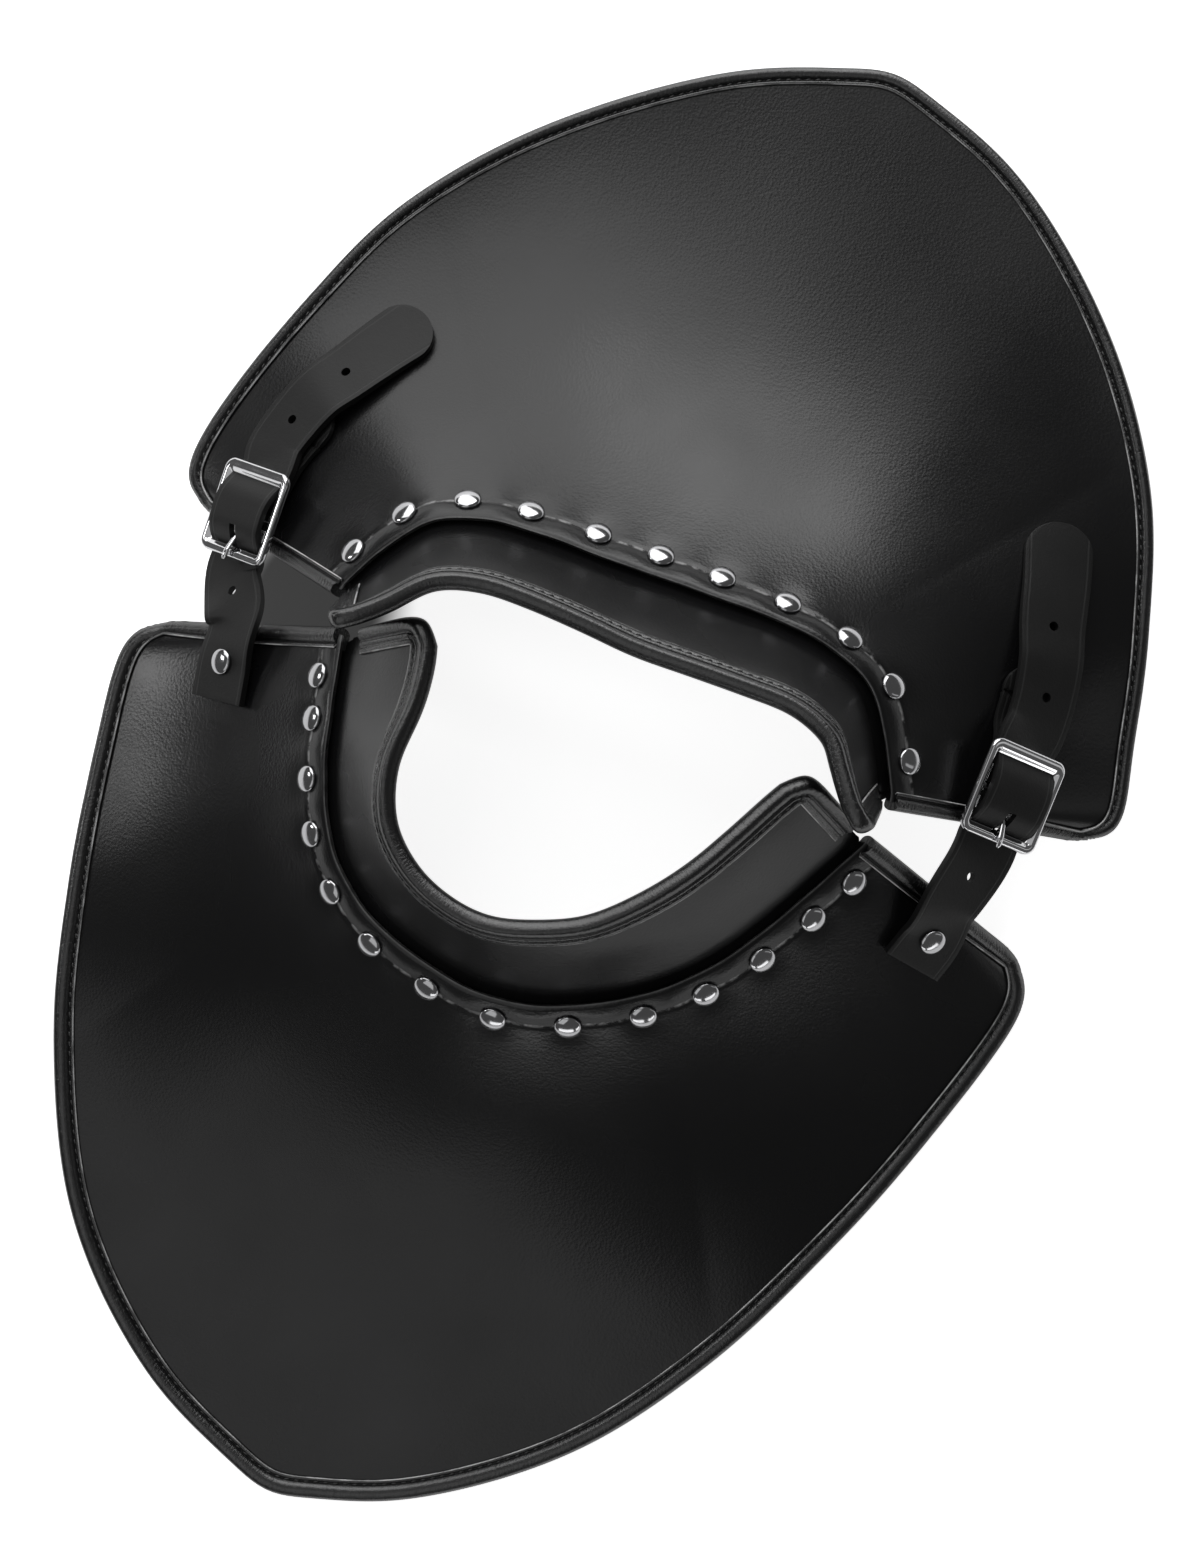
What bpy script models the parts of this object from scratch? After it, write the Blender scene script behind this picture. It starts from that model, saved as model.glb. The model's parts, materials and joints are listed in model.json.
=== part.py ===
"""Leather gorget: two collared plates joined over the shoulders by buckled straps.

Run with: blender --background --python part.py
Metres, +Z up. The gorget lies on the XY plane, its back tip towards +Y and its
front tip towards -Y. Left and right are -X and +X.
"""

import math
from collections import namedtuple

import bmesh
import bpy
from mathutils import Matrix, Vector

# Overall sizes of the two halves
PLATE_HALF_WIDTH = 0.1735
BACK_REACH = 0.27375
FRONT_REACH = 0.27375
NECK_HALF_WIDTH = 0.1000
BACK_NECK_DEPTH = 0.0765
FRONT_NECK_DEPTH = 0.0790
NECK_HEIGHT = 0.0640
NECK_SLOPE = math.radians(40.0)
EDGE_LIFT = 0.0060

# Collar that stands up round the neck
RIM_HALF_WIDTH = 0.1000
BACK_RIM_DEPTH = 0.0515
FRONT_RIM_DEPTH = 0.0555
RIM_HEIGHT = 0.1000
COLLAR_WALL = 0.0022
COLLAR_BULGE = 0.0015
FLANGE_DEPTH = 0.0140
FLANGE_HINGE = 0.0005
FLANGE_GAP = 0.0006
COLLAR_FOOT = 0.0030

# Leather walls and bindings
PLATE_WALL = 0.0030
BINDING_WALL = 0.0014
BACK_PLATE_LAP = 0.0036
FRONT_PLATE_LAP = 0.0050
PLATE_ROLL = 0.0015
RIM_LAP = 0.0068
RIM_ROLL = 0.0015
BINDING_GAP = 0.0008
END_PUCKER = 0.0012
CORNER_PUCKER = 0.0014
GAP = 0.0003

# Rivets
RIVET_CAP_RADIUS = 0.0046
RIVET_CAP_HEIGHT = 0.0018
RIVET_SHANK_RADIUS = 0.0014
RIVET_BACK_RADIUS = 0.0034
RIVET_BACK_THICKNESS = 0.0006
RIVET_HOLE_RADIUS = 0.0020
RIVET_SEAT = 0.0004
RIVET_BACK_SEAT = 0.0006
RIVET_LINE = 0.0088
RIVET_SIDES = 8
HOLE_SIDES = 5
TAB_CAP_HEIGHT = 0.0006

# Straps, buckles and the tabs that hold them
STRAP_WIDTH = 0.0240
STRAP_WALL = 0.0025
STRAP_BED = 0.0009
STRAP_HOLE_RADIUS = 0.0017
BUCKLE_LENGTH = 0.0340
BUCKLE_WINDOW = 0.0256
BUCKLE_BAR = 0.0030
BUCKLE_CORNER = 0.0040
BUCKLE_BED = 0.0100
PRONG_THICKNESS = 0.0018
TAB_WIDTH = 0.0220
TAB_WALL = 0.0018
TAB_BED = 0.0009

STEPS_PER_SECTION = 2
PLATE_RINGS = 7
WALL_RINGS = 2
STRIP_STEP = 0.0046

BLACK_LEATHER = ((0.011, 0.011, 0.012), 0.42, 0.0)
BLACK_BINDING = ((0.009, 0.009, 0.010), 0.36, 0.0)
BLACK_STRAP = ((0.013, 0.013, 0.013), 0.50, 0.0)
CHROME = ((0.80, 0.80, 0.81), 0.08, 1.0)

# One row for each section line from the neck out to the edge, left shoulder
# first. Neck and rim columns are shares of the neck and rim sizes, edge columns
# are shares of the plate's half width and reach, heights are shares of
# NECK_HEIGHT, EDGE_LIFT and RIM_HEIGHT.
Section = namedtuple(
    "Section", "name neck_x neck_y neck_z edge_x edge_y lift rim_x rim_y rim_z")

BACK_SECTIONS = [
    Section("left shoulder", -0.980, 0.353, 0.91, -0.944, 0.134, 0.20, -0.865, 0.33, 1.02),
    Section("left corner", -0.960, 0.425, 0.93, -1.0055, 0.172, 0.20, -0.820, 0.39, 1.02),
    Section("left flank", -0.900, 0.580, 0.96, -0.992, 0.271, 0.3, -0.735, 0.55, 1.01),
    Section("left side", -0.780, 0.790, 1.00, -0.915, 0.434, 0.8, -0.625, 0.80, 1.00),
    Section("left arc", -0.600, 0.902, 1.00, -0.808, 0.597, 0.9, -0.470, 0.92, 0.99),
    Section("left slope", -0.380, 0.941, 1.00, -0.605, 0.763, 0.5, -0.295, 0.95, 0.99),
    Section("left fall", -0.170, 0.954, 1.00, -0.311, 0.915, 0.1, -0.100, 0.95, 0.99),
    Section("tip", 0.030, 0.974, 1.00, -0.006, 1.000, 0.0, 0.080, 0.94, 0.99),
    Section("right fall", 0.240, 0.993, 1.00, 0.305, 0.933, 0.1, 0.260, 0.965, 0.99),
    Section("right slope", 0.450, 1.007, 1.00, 0.593, 0.794, 0.5, 0.450, 0.99, 0.99),
    Section("right arc", 0.640, 0.987, 1.00, 0.797, 0.629, 0.9, 0.630, 1.00, 0.99),
    Section("right side", 0.810, 0.902, 1.00, 0.910, 0.459, 0.8, 0.775, 0.91, 1.00),
    Section("right flank", 0.920, 0.732, 0.97, 0.972, 0.325, 0.3, 0.850, 0.75, 1.01),
    Section("right corner", 1.010, 0.536, 0.94, 1.008, 0.231, 0.20, 0.925, 0.58, 1.02),
    Section("right shoulder", 1.030, 0.471, 0.93, 0.955, 0.195, 0.20, 0.995, 0.47, 1.02),
]

FRONT_SECTIONS = [
    Section("left shoulder", -0.910, -0.165, 0.90, -0.921, 0.033, 0.20, -0.630, -0.47, 0.90),
    Section("left corner", -0.895, -0.101, 0.92, -0.980, 0.083, 0.20, -0.565, -0.35, 0.91),
    Section("left flank", -0.840, 0.127, 0.97, -0.944, 0.224, 0.3, -0.525, -0.03, 0.94),
    Section("left side", -0.760, 0.418, 1.00, -0.876, 0.394, 0.8, -0.520, 0.35, 0.97),
    Section("left arc", -0.630, 0.696, 1.00, -0.774, 0.581, 0.9, -0.445, 0.68, 0.98),
    Section("left slope", -0.440, 0.880, 1.00, -0.593, 0.780, 0.5, -0.310, 0.89, 0.98),
    Section("left fall", -0.220, 0.968, 1.00, -0.322, 0.924, 0.1, -0.155, 0.99, 0.98),
    Section("tip", 0.010, 1.000, 1.00, -0.007, 1.000, 0.0, 0.000, 1.00, 0.98),
    Section("right fall", 0.220, 0.949, 1.00, 0.260, 0.926, 0.1, 0.150, 0.91, 0.98),
    Section("right slope", 0.410, 0.829, 1.00, 0.520, 0.783, 0.5, 0.310, 0.75, 0.98),
    Section("right arc", 0.580, 0.671, 1.00, 0.701, 0.603, 0.9, 0.445, 0.49, 0.98),
    Section("right side", 0.730, 0.456, 1.00, 0.825, 0.415, 0.8, 0.550, 0.21, 0.97),
    Section("right flank", 0.850, 0.190, 0.98, 0.910, 0.249, 0.3, 0.630, -0.09, 0.94),
    Section("right corner", 0.975, -0.152, 0.94, 0.980, 0.051, 0.20, 0.715, -0.43, 0.91),
    Section("right shoulder", 1.010, -0.253, 0.93, 0.935, -0.016, 0.20, 0.775, -0.53, 0.90),
]

TIP_ROW = 7
LAST_ROW = 14

# Rivets as shares of the line they stand on, from the left shoulder
BACK_RIVETS = (0.052, 0.139, 0.226, 0.311, 0.404, 0.490, 0.573, 0.667, 0.757, 0.843, 0.941)
FRONT_RIVETS = (0.046, 0.095, 0.162, 0.223, 0.290, 0.360, 0.440, 0.520, 0.600, 0.686,
                0.757, 0.826, 0.897, 0.958)

# A strap lies on the front plate, passes the buckle and ends on the back plate.
# Rows give the place and share on the plate and the height of the leather over
# it, in walls of the strap. Bearing and pitch turn the buckle, in degrees.
Rest = namedtuple("Rest", "name place share height")
Side = namedtuple("Side", "name end rivet front buckle bearing pitch tail tab tab_rivet")

SIDES = [
    Side("left",
         end=Rest("square end", 1.68, 0.490, 0.2),
         rivet=Rest("rivet", 1.23, 0.480, 0.9),
         front=[Rest("shoulder", 0.30, 0.505, 2.4)],
         buckle=Rest("heel", 1.711, 0.601, 0.0), bearing=4.2, pitch=-4.0,
         tail=[Rest("over the tab", 2.02, 0.650, 1.35), Rest("hole", 2.33, 0.665, 1.35),
               Rest("tab end", 2.68, 0.668, 1.35), Rest("hole", 2.96, 0.660, 0.7),
               Rest("plate", 3.40, 0.658, 0.1), Rest("tip", 3.88, 0.660, 0.0)],
         tab=[Rest("under the tail", 1.98, 0.625, 0.0), Rest("middle", 2.30, 0.632, 0.0),
              Rest("end", 2.66, 0.628, 0.3)],
         tab_rivet=Rest("tab rivet", 2.14, 0.630, 0.0)),
    Side("right",
         end=Rest("square end", 12.69, 0.480, 0.2),
         rivet=Rest("rivet", 13.00, 0.465, 0.8),
         front=[Rest("shoulder", 13.75, 0.455, 2.1)],
         buckle=Rest("heel", 12.14, 0.512, 0.8), bearing=1.6, pitch=-1.0,
         tail=[Rest("over the tab", 11.82, 0.565, 1.75), Rest("hole", 11.47, 0.600, 1.5),
               Rest("tab end", 11.10, 0.627, 1.4), Rest("hole", 10.76, 0.650, 0.7),
               Rest("plate", 10.35, 0.688, 0.1), Rest("tip", 9.92, 0.730, 0.0)],
         tab=[Rest("under the tail", 11.86, 0.535, 0.0), Rest("middle", 11.50, 0.563, 0.0),
              Rest("end", 11.12, 0.585, 0.3)],
         tab_rivet=Rest("tab rivet", 11.68, 0.555, 0.0)),
]

# Way of the strap and the tab past the buckle's bars, toe to heel. Along is a
# share of the distance from the middle bar to an end bar, over a share of the
# height at which leather clears a bar.
Wave = namedtuple("Wave", "along over")
STRAP_WAVES = (Wave(-1.30, -1.25), Wave(-1.00, -1.25), Wave(-0.80, -0.62), Wave(-0.62, 0.20),
               Wave(-0.38, 0.92), Wave(-0.12, 1.10), Wave(0.14, 1.10), Wave(0.40, 0.75),
               Wave(0.63, 0.05), Wave(0.81, -0.65), Wave(1.00, -1.25))
TAB_WAVES = (Wave(1.00, -2.30), Wave(0.62, -1.75), Wave(0.30, -1.25), Wave(0.04, -1.06),
             Wave(-0.115, -0.84), Wave(-0.19, -0.30), Wave(-0.20, 0.10))
PRONG_WAVES = (Wave(0.13, -0.70), Wave(0.01, -0.97), Wave(-0.12, -0.75), Wave(-0.23, -0.28),
               Wave(-0.45, -0.10), Wave(-0.72, 0.46), Wave(-1.00, 0.93), Wave(-1.17, 0.94))
PRONG_SLOT = (-0.82, -0.36)


def smooth(values, place, first=0, last=LAST_ROW):
    """Catmull-Rom value at a place between the rows first and last."""
    row = min(max(int(place), first), last - 1)
    share = place - row
    here, there = values[row], values[row + 1]
    before = values[row - 1] if row > first else here * 2 - there
    after = values[row + 2] if row + 2 <= last else there * 2 - here
    leave, arrive = (there - before) / 2, (after - here) / 2
    rise = there - here
    return here + leave * share + (rise * 3 - leave * 2 - arrive) * share ** 2 \
        + (leave + arrive - rise * 2) * share ** 3


def search(low, high, reached):
    """Halve the range until the value where reached turns true is found."""
    for _ in range(24):
        middle = (low + high) / 2
        if reached(middle):
            high = middle
        else:
            low = middle
    return (low + high) / 2


class Surface:
    """A sheet with a point for each place along it and share across it."""

    def __init__(self, facing):
        self.facing = facing

    def normal(self, place, share):
        step = 0.02
        low, high = max(place - step, 0.0), min(place + step, LAST_ROW)
        across = self.point(high, share) - self.point(low, share)
        along = self.point(place, share + step) - self.point(place, share - step)
        return (across.cross(along) * self.facing).normalized()

    def out_of_edge(self, place):
        """Direction square to the far edge, away from the sheet."""
        step = 0.05
        low, high = max(place - step, 0.0), min(place + step, LAST_ROW)
        edge = (self.point(high, 1.0) - self.point(low, 1.0)).normalized()
        down = self.point(place, 1.0) - self.point(place, 0.9)
        return (down - edge * down.dot(edge)).normalized()

    def out_of_end(self, share, right):
        """Direction square to the left or right end, away from the sheet."""
        place, inside = (LAST_ROW, LAST_ROW - 0.1) if right else (0.0, 0.1)
        end = (self.point(place, share + 0.02) - self.point(place, share - 0.02)).normalized()
        away = self.point(place, share) - self.point(inside, share)
        return (away - end * away.dot(end)).normalized()

    def share_inside(self, place, lap):
        """Share at which the sheet is a lap away from its far edge."""
        edge, out = self.point(place, 1.0), self.out_of_edge(place)
        return search(0.2, 1.0, lambda share: (edge - self.point(place, share)).dot(out) < lap)

    def place_inside(self, share, lap, right):
        """Place at which the sheet is a lap away from its left or right end."""
        end, out = self.point(LAST_ROW if right else 0.0, share), self.out_of_end(share, right)

        def beyond(offset):
            place = LAST_ROW - offset if right else offset
            return (end - self.point(place, share)).dot(out) > lap
        offset = search(0.0, 5.0, beyond)
        return LAST_ROW - offset if right else offset

    def corner(self, lap, right):
        """Place and share a lap away from both the end and the far edge."""
        place, share = (LAST_ROW - 1.0 if right else 1.0), 0.9
        for _ in range(4):
            place = self.place_inside(share, lap, right)
            share = self.share_inside(place, lap)
        return place, share


class Plate(Surface):
    """Top of a plate that falls from the neck, share 0, to its edge, share 1."""

    def __init__(self, sections, facing, reach, neck_depth, lap):
        super().__init__(facing)
        self.lap = lap
        self.necks = [Vector((row.neck_x * NECK_HALF_WIDTH, row.neck_y * neck_depth * facing,
                              row.neck_z * NECK_HEIGHT)) for row in sections]
        self.edges = [Vector((row.edge_x * PLATE_HALF_WIDTH, row.edge_y * reach * facing,
                              row.lift * EDGE_LIFT)) for row in sections]

    def edge(self, place):
        if place <= TIP_ROW:
            return smooth(self.edges, place, 0, TIP_ROW)
        return smooth(self.edges, place, TIP_ROW, LAST_ROW)

    def point(self, place, share):
        neck, edge = smooth(self.necks, place), self.edge(place)
        run = (edge - neck).xy.length
        stack = PLATE_WALL + BINDING_GAP + BINDING_WALL
        steep = math.tan(NECK_SLOPE)
        mean = (neck.z - stack - edge.z) / run
        ease = max(0.0, 2 * mean - steep)
        foot = edge.z + stack * math.cos(math.atan(ease))
        drop = foot - neck.z
        leave, arrive = -steep * run, -ease * run
        height = neck.z + leave * share + (3 * drop - 2 * leave - arrive) * share ** 2 \
            + (leave + arrive - 2 * drop) * share ** 3
        flat = neck.lerp(edge, share)
        return Vector((flat.x, flat.y, height))

    def share_at(self, place, distance):
        """Share of a section line that lies a distance from the neck."""
        run = (self.edge(place) - smooth(self.necks, place)).xy.length
        start = self.point(place, 0.0)
        return search(0.0, 2 * distance / run,
                      lambda share: (self.point(place, share) - start).length > distance)

    def under(self, place, distance, depth):
        """Point a distance out from the neck and a depth under the top."""
        start = self.point(place, 0.0)
        if distance <= 0:
            slope = (self.point(place, 0.01) - start).normalized()
            return start + slope * distance - self.normal(place, 0.0) * depth
        share = self.share_at(place, distance)
        return self.point(place, share) - self.normal(place, share) * depth


class Wall(Surface):
    """Outer face of a collar, share 0 at its foot under the plate, 1 at its rim."""

    def __init__(self, plate, sections, rim_depth):
        super().__init__(-plate.facing)
        self.plate = plate
        self.rims = [Vector((row.rim_x * RIM_HALF_WIDTH, row.rim_y * rim_depth * plate.facing,
                             row.rim_z * RIM_HEIGHT)) for row in sections]

    def point(self, place, share):
        foot = self.plate.under(place, -COLLAR_FOOT, PLATE_WALL + GAP)
        rim = smooth(self.rims, place)
        bulge = Vector((0.0, 0.0, COLLAR_BULGE * math.sin(math.pi * min(max(share, 0.0), 1.0))))
        return foot.lerp(rim, share) + bulge

    def normal(self, place, share):
        upward = super().normal(place, share)
        return upward if upward.z > 0 else -upward


BACK_PLATE = Plate(BACK_SECTIONS, 1, BACK_REACH, BACK_NECK_DEPTH, BACK_PLATE_LAP)
FRONT_PLATE = Plate(FRONT_SECTIONS, -1, FRONT_REACH, FRONT_NECK_DEPTH, FRONT_PLATE_LAP)
BACK_WALL = Wall(BACK_PLATE, BACK_SECTIONS, BACK_RIM_DEPTH)
FRONT_WALL = Wall(FRONT_PLATE, FRONT_SECTIONS, FRONT_RIM_DEPTH)


def clear_scene():
    for thing in list(bpy.data.objects):
        bpy.data.objects.remove(thing)


def collection(name):
    group = bpy.data.collections.new(name)
    bpy.context.scene.collection.children.link(group)
    return group


def material(name, finish):
    colour, roughness, metallic = finish
    made = bpy.data.materials.new(name)
    made.use_nodes = True
    shader = made.node_tree.nodes["Principled BSDF"]
    shader.inputs["Base Color"].default_value = (*colour, 1.0)
    shader.inputs["Roughness"].default_value = roughness
    shader.inputs["Metallic"].default_value = metallic
    return made


def add_object(name, mesh, finish, group):
    thing = bpy.data.objects.new(name, mesh)
    group.objects.link(thing)
    if finish:
        mesh.materials.append(finish)
    for face in mesh.polygons:
        face.use_smooth = True
    return thing


def bent_grid(name, columns, rows, place_vertex, outward):
    """Grid whose vertex (column, row) goes where place_vertex says.

    Faces are turned to look the way that outward gives for a face's centre.
    """
    bm = bmesh.new()
    bmesh.ops.create_grid(bm, x_segments=columns, y_segments=rows, size=0.5)
    for vertex in bm.verts:
        column = round((vertex.co.x + 0.5) * columns)
        row = round((vertex.co.y + 0.5) * rows)
        vertex.co = place_vertex(column, row)
    bmesh.ops.remove_doubles(bm, verts=bm.verts, dist=0.00001)
    bm.normal_update()
    agree = sum(face.normal.dot(outward(face.calc_center_median())) for face in bm.faces)
    if agree < 0:
        bmesh.ops.reverse_faces(bm, faces=bm.faces)
    mesh = bpy.data.meshes.new(name)
    bm.to_mesh(mesh)
    bm.free()
    return mesh


def add_wall(thing, thickness, offset, even):
    solidify = thing.modifiers.new("wall", "SOLIDIFY")
    solidify.thickness = thickness
    solidify.offset = offset
    solidify.use_even_offset = even


def cut(thing, cutter):
    boolean = thing.modifiers.new("cut", "BOOLEAN")
    boolean.operation = "DIFFERENCE"
    boolean.solver = "EXACT"
    boolean.object = cutter


def join(thing, other):
    boolean = thing.modifiers.new("join", "BOOLEAN")
    boolean.operation = "UNION"
    boolean.solver = "EXACT"
    boolean.object = other


def add_cutter(name, shapes, group):
    """One hidden object of prisms and boxes, each (matrix, kind, sizes)."""
    bm = bmesh.new()
    for matrix, kind, sizes in shapes:
        if kind == "prism":
            bmesh.ops.create_cone(bm, cap_ends=True, segments=HOLE_SIDES, radius1=sizes[0],
                                  radius2=sizes[0], depth=sizes[1], matrix=matrix)
        else:
            bmesh.ops.create_cube(bm, size=1.0, matrix=matrix @ Matrix.Diagonal((*sizes, 1.0)))
    mesh = bpy.data.meshes.new(name)
    bm.to_mesh(mesh)
    bm.free()
    return hide(add_object(name, mesh, None, group))


def hide(helper):
    helper.hide_render = True
    helper.display_type = "WIRE"
    return helper


def frame_at(origin, along, normal):
    """Matrix with X across, Y along and Z on the normal."""
    z_axis = (normal - along * normal.dot(along)).normalized()
    x_axis = along.cross(z_axis).normalized()
    turn = Matrix((x_axis, along, z_axis)).transposed().to_4x4()
    return Matrix.Translation(origin) @ turn


def stand_on(surface, place, share, height=0.0):
    """Matrix on a surface with Z along its normal and Y across the sections."""
    normal = surface.normal(place, share)
    step = 0.05
    along = (surface.point(place + step, share) - surface.point(place - step, share)).normalized()
    along = (along - normal * along.dot(normal)).normalized()
    return frame_at(surface.point(place, share) + normal * height, along, normal)


def ring_share(plate, place, ring):
    """Share of a plate's ring: closer at the steep neck, one at the binding's lip."""
    if ring == PLATE_RINGS:
        return 1.0
    return plate.share_inside(place, plate.lap) * (ring / (PLATE_RINGS - 1)) ** 1.5


def make_plate(name, plate, cutter, finish, group):
    columns = LAST_ROW * STEPS_PER_SECTION

    def vertex(column, row):
        place = column / STEPS_PER_SECTION
        return plate.point(place, ring_share(plate, place, row))
    mesh = bent_grid(name, columns, PLATE_RINGS, vertex, lambda centre: Vector((0, 0, 1)))
    thing = add_object(name, mesh, finish, group)
    add_wall(thing, PLATE_WALL, -1.0, even=False)
    cut(thing, cutter)
    return thing


def make_collar(name, wall, cutter, finish, group):
    """Collar with a flange riveted under the plate's neck margin."""
    plate, columns = wall.plate, LAST_ROW * STEPS_PER_SECTION
    depth = PLATE_WALL + FLANGE_GAP
    clear = plate.lap + GAP + 0.35 * FLANGE_DEPTH
    rear = plate.share_at(TIP_ROW, FLANGE_DEPTH)
    first = plate.place_inside(rear, clear, False)
    last = plate.place_inside(rear, clear, True)

    def vertex(column, row):
        place = column / STEPS_PER_SECTION
        under = first + (last - first) * column / columns
        if row == 0:
            return plate.under(under, FLANGE_DEPTH, depth)
        if row == 1:
            return plate.under(under, -FLANGE_HINGE, depth)
        return wall.point(place, (row - 2) / WALL_RINGS)
    mesh = bent_grid(name, columns, WALL_RINGS + 2, vertex, lambda centre: Vector((0, 0, 1)))
    thing = add_object(name, mesh, finish, group)
    add_wall(thing, COLLAR_WALL, -1.0, even=False)
    cut(thing, cutter)
    return thing


def make_binding(name, surface, wall, lap, roll, gap, ends, finish, group):
    """Strip of leather folded over a sheet's two ends and far edge."""
    corners = [surface.corner(lap, right) for right in (False, True)]

    def on_end(share, right):
        place = LAST_ROW if right else 0.0
        inside = surface.place_inside(share, lap, right)
        return (surface.point(place, share), surface.normal(place, share),
                surface.out_of_end(share, right), surface.point(inside, share),
                surface.normal(inside, share), gap, gap + END_PUCKER)

    def on_edge(place):
        edge = (surface.point(place, 1.0), surface.normal(place, 1.0))
        out = surface.out_of_edge(place)
        if place in (0.0, LAST_ROW):
            out = (out + surface.out_of_end(1.0, place > 0)).normalized() * 1.15
        for corner, past in zip(corners, (place <= corners[0][0], place >= corners[1][0])):
            if past:
                return (*edge, out, surface.point(*corner), surface.normal(*corner),
                        1.6 * gap, gap + CORNER_PUCKER)
        share = surface.share_inside(place, lap)
        return (*edge, out, surface.point(place, share), surface.normal(place, share), gap, gap)
    steps = STEPS_PER_SECTION * LAST_ROW
    stations = [on_end(share, False) for share in ends]
    stations += [on_edge(step / STEPS_PER_SECTION) for step in range(steps + 1)]
    stations += [on_end(share, True) for share in reversed(ends)]

    def vertex(column, row):
        edge, normal, out, inner, inner_normal, edge_gap, inner_gap = stations[column]
        places = (inner + inner_normal * inner_gap, edge + normal * edge_gap,
                  edge + out * roll - normal * (0.15 * wall),
                  edge + out * roll - normal * (0.85 * wall),
                  edge - normal * (wall + edge_gap), inner - inner_normal * (wall + inner_gap))
        return places[row]
    centres = [edge.lerp(inner, 0.3) - normal * (wall / 2)
               for edge, normal, out, inner, *rest in stations]

    def outward(point):
        nearest = min(centres, key=lambda centre: (centre - point).length)
        return point - nearest
    mesh = bent_grid(name, len(stations) - 1, 5, vertex, outward)
    thing = add_object(name, mesh, finish, group)
    add_wall(thing, BINDING_WALL, 1.0, even=True)
    return thing


def rivet_mesh(name, grip, cap_height, finish):
    """Half outline of a rivet round Z, its cap on top and a grip below."""
    bm = bmesh.new()
    outline = [(0.0, cap_height), (0.70 * RIVET_CAP_RADIUS, 0.78 * cap_height),
               (RIVET_CAP_RADIUS, 0.0), (RIVET_SHANK_RADIUS, 0.0),
               (RIVET_SHANK_RADIUS, -grip), (RIVET_BACK_RADIUS, -grip),
               (0.0, -grip - RIVET_BACK_THICKNESS)]
    corners = [bm.verts.new((radius, 0.0, height)) for radius, height in outline]
    for upper, lower in zip(corners, corners[1:]):
        bm.edges.new((upper, lower))
    mesh = bpy.data.meshes.new(name)
    bm.to_mesh(mesh)
    bm.free()
    mesh.materials.append(finish)
    return mesh


def add_rivet(name, mesh, matrix, group):
    thing = bpy.data.objects.new(name, mesh)
    group.objects.link(thing)
    thing.matrix_world = matrix
    screw = thing.modifiers.new("turn", "SCREW")
    screw.steps = RIVET_SIDES
    screw.render_steps = RIVET_SIDES
    screw.use_merge_vertices = True
    screw.merge_threshold = 0.00001
    return thing


def rivet_places(plate, shares):
    """Places along the neck whose shares of the rivet line are given."""
    count = 20 * LAST_ROW
    line = [plate.under(LAST_ROW * step / count, RIVET_LINE, 0.0) for step in range(count + 1)]
    lengths = [0.0]
    for before, after in zip(line, line[1:]):
        lengths.append(lengths[-1] + (after - before).length)
    places = []
    for share in shares:
        step = sum(1 for length in lengths if length < share * lengths[-1])
        places.append(LAST_ROW * min(step, count) / count)
    return places


def buckle_frame(side):
    """Matrix at the middle bar: X across, Y towards the tail, Z up."""
    height = BUCKLE_BED + side.buckle.height * STRAP_WALL
    heel = stand_on(BACK_PLATE, side.buckle.place, side.buckle.share, height)
    bearing, pitch = math.radians(side.bearing), math.radians(side.pitch)
    toe = Vector((math.sin(bearing) * math.cos(pitch), -math.cos(bearing) * math.cos(pitch),
                  math.sin(pitch)))
    middle = heel.translation + toe * (BUCKLE_LENGTH / 2)
    return frame_at(middle, -toe, heel.to_3x3() @ Vector((0, 0, 1)))


def past_bars(frame, wave):
    """Point beside the buckle's bars at a share of their spacing and height."""
    spacing = (BUCKLE_LENGTH - BUCKLE_BAR) / 2
    level = BUCKLE_BAR / 2 + GAP + STRAP_WALL / 2
    return frame @ Vector((0.0, wave.along * spacing, wave.over * level))


def on_plate(plate, rest, bed, wall):
    """Middle of a leather strip that rests on a plate, and its normal."""
    normal = plate.normal(rest.place, rest.share)
    height = bed + wall / 2 + rest.height * STRAP_WALL
    return plate.point(rest.place, rest.share) + normal * height, normal


def strap_knots(side):
    frame = buckle_frame(side)
    up = frame.to_3x3() @ Vector((0, 0, 1))
    knots = [on_plate(FRONT_PLATE, rest, STRAP_BED, STRAP_WALL)
             for rest in (side.end, side.rivet, *side.front)]
    knots += [(past_bars(frame, wave), up) for wave in STRAP_WAVES]
    knots += [on_plate(BACK_PLATE, rest, STRAP_BED, STRAP_WALL) for rest in side.tail]
    return knots


def strap_rivet_seat(side):
    """Matrix in the middle of the strap where its rivet goes through."""
    (before, _), (middle, normal), (after, _) = strap_knots(side)[:3]
    return frame_at(middle, (after - before).normalized(), normal)


def tab_knots(side):
    frame = buckle_frame(side)
    up = frame.to_3x3() @ Vector((0, 0, 1))
    knots = [on_plate(BACK_PLATE, rest, TAB_BED, TAB_WALL) for rest in reversed(side.tab)]
    return knots + [(past_bars(frame, wave), up) for wave in TAB_WAVES]


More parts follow.
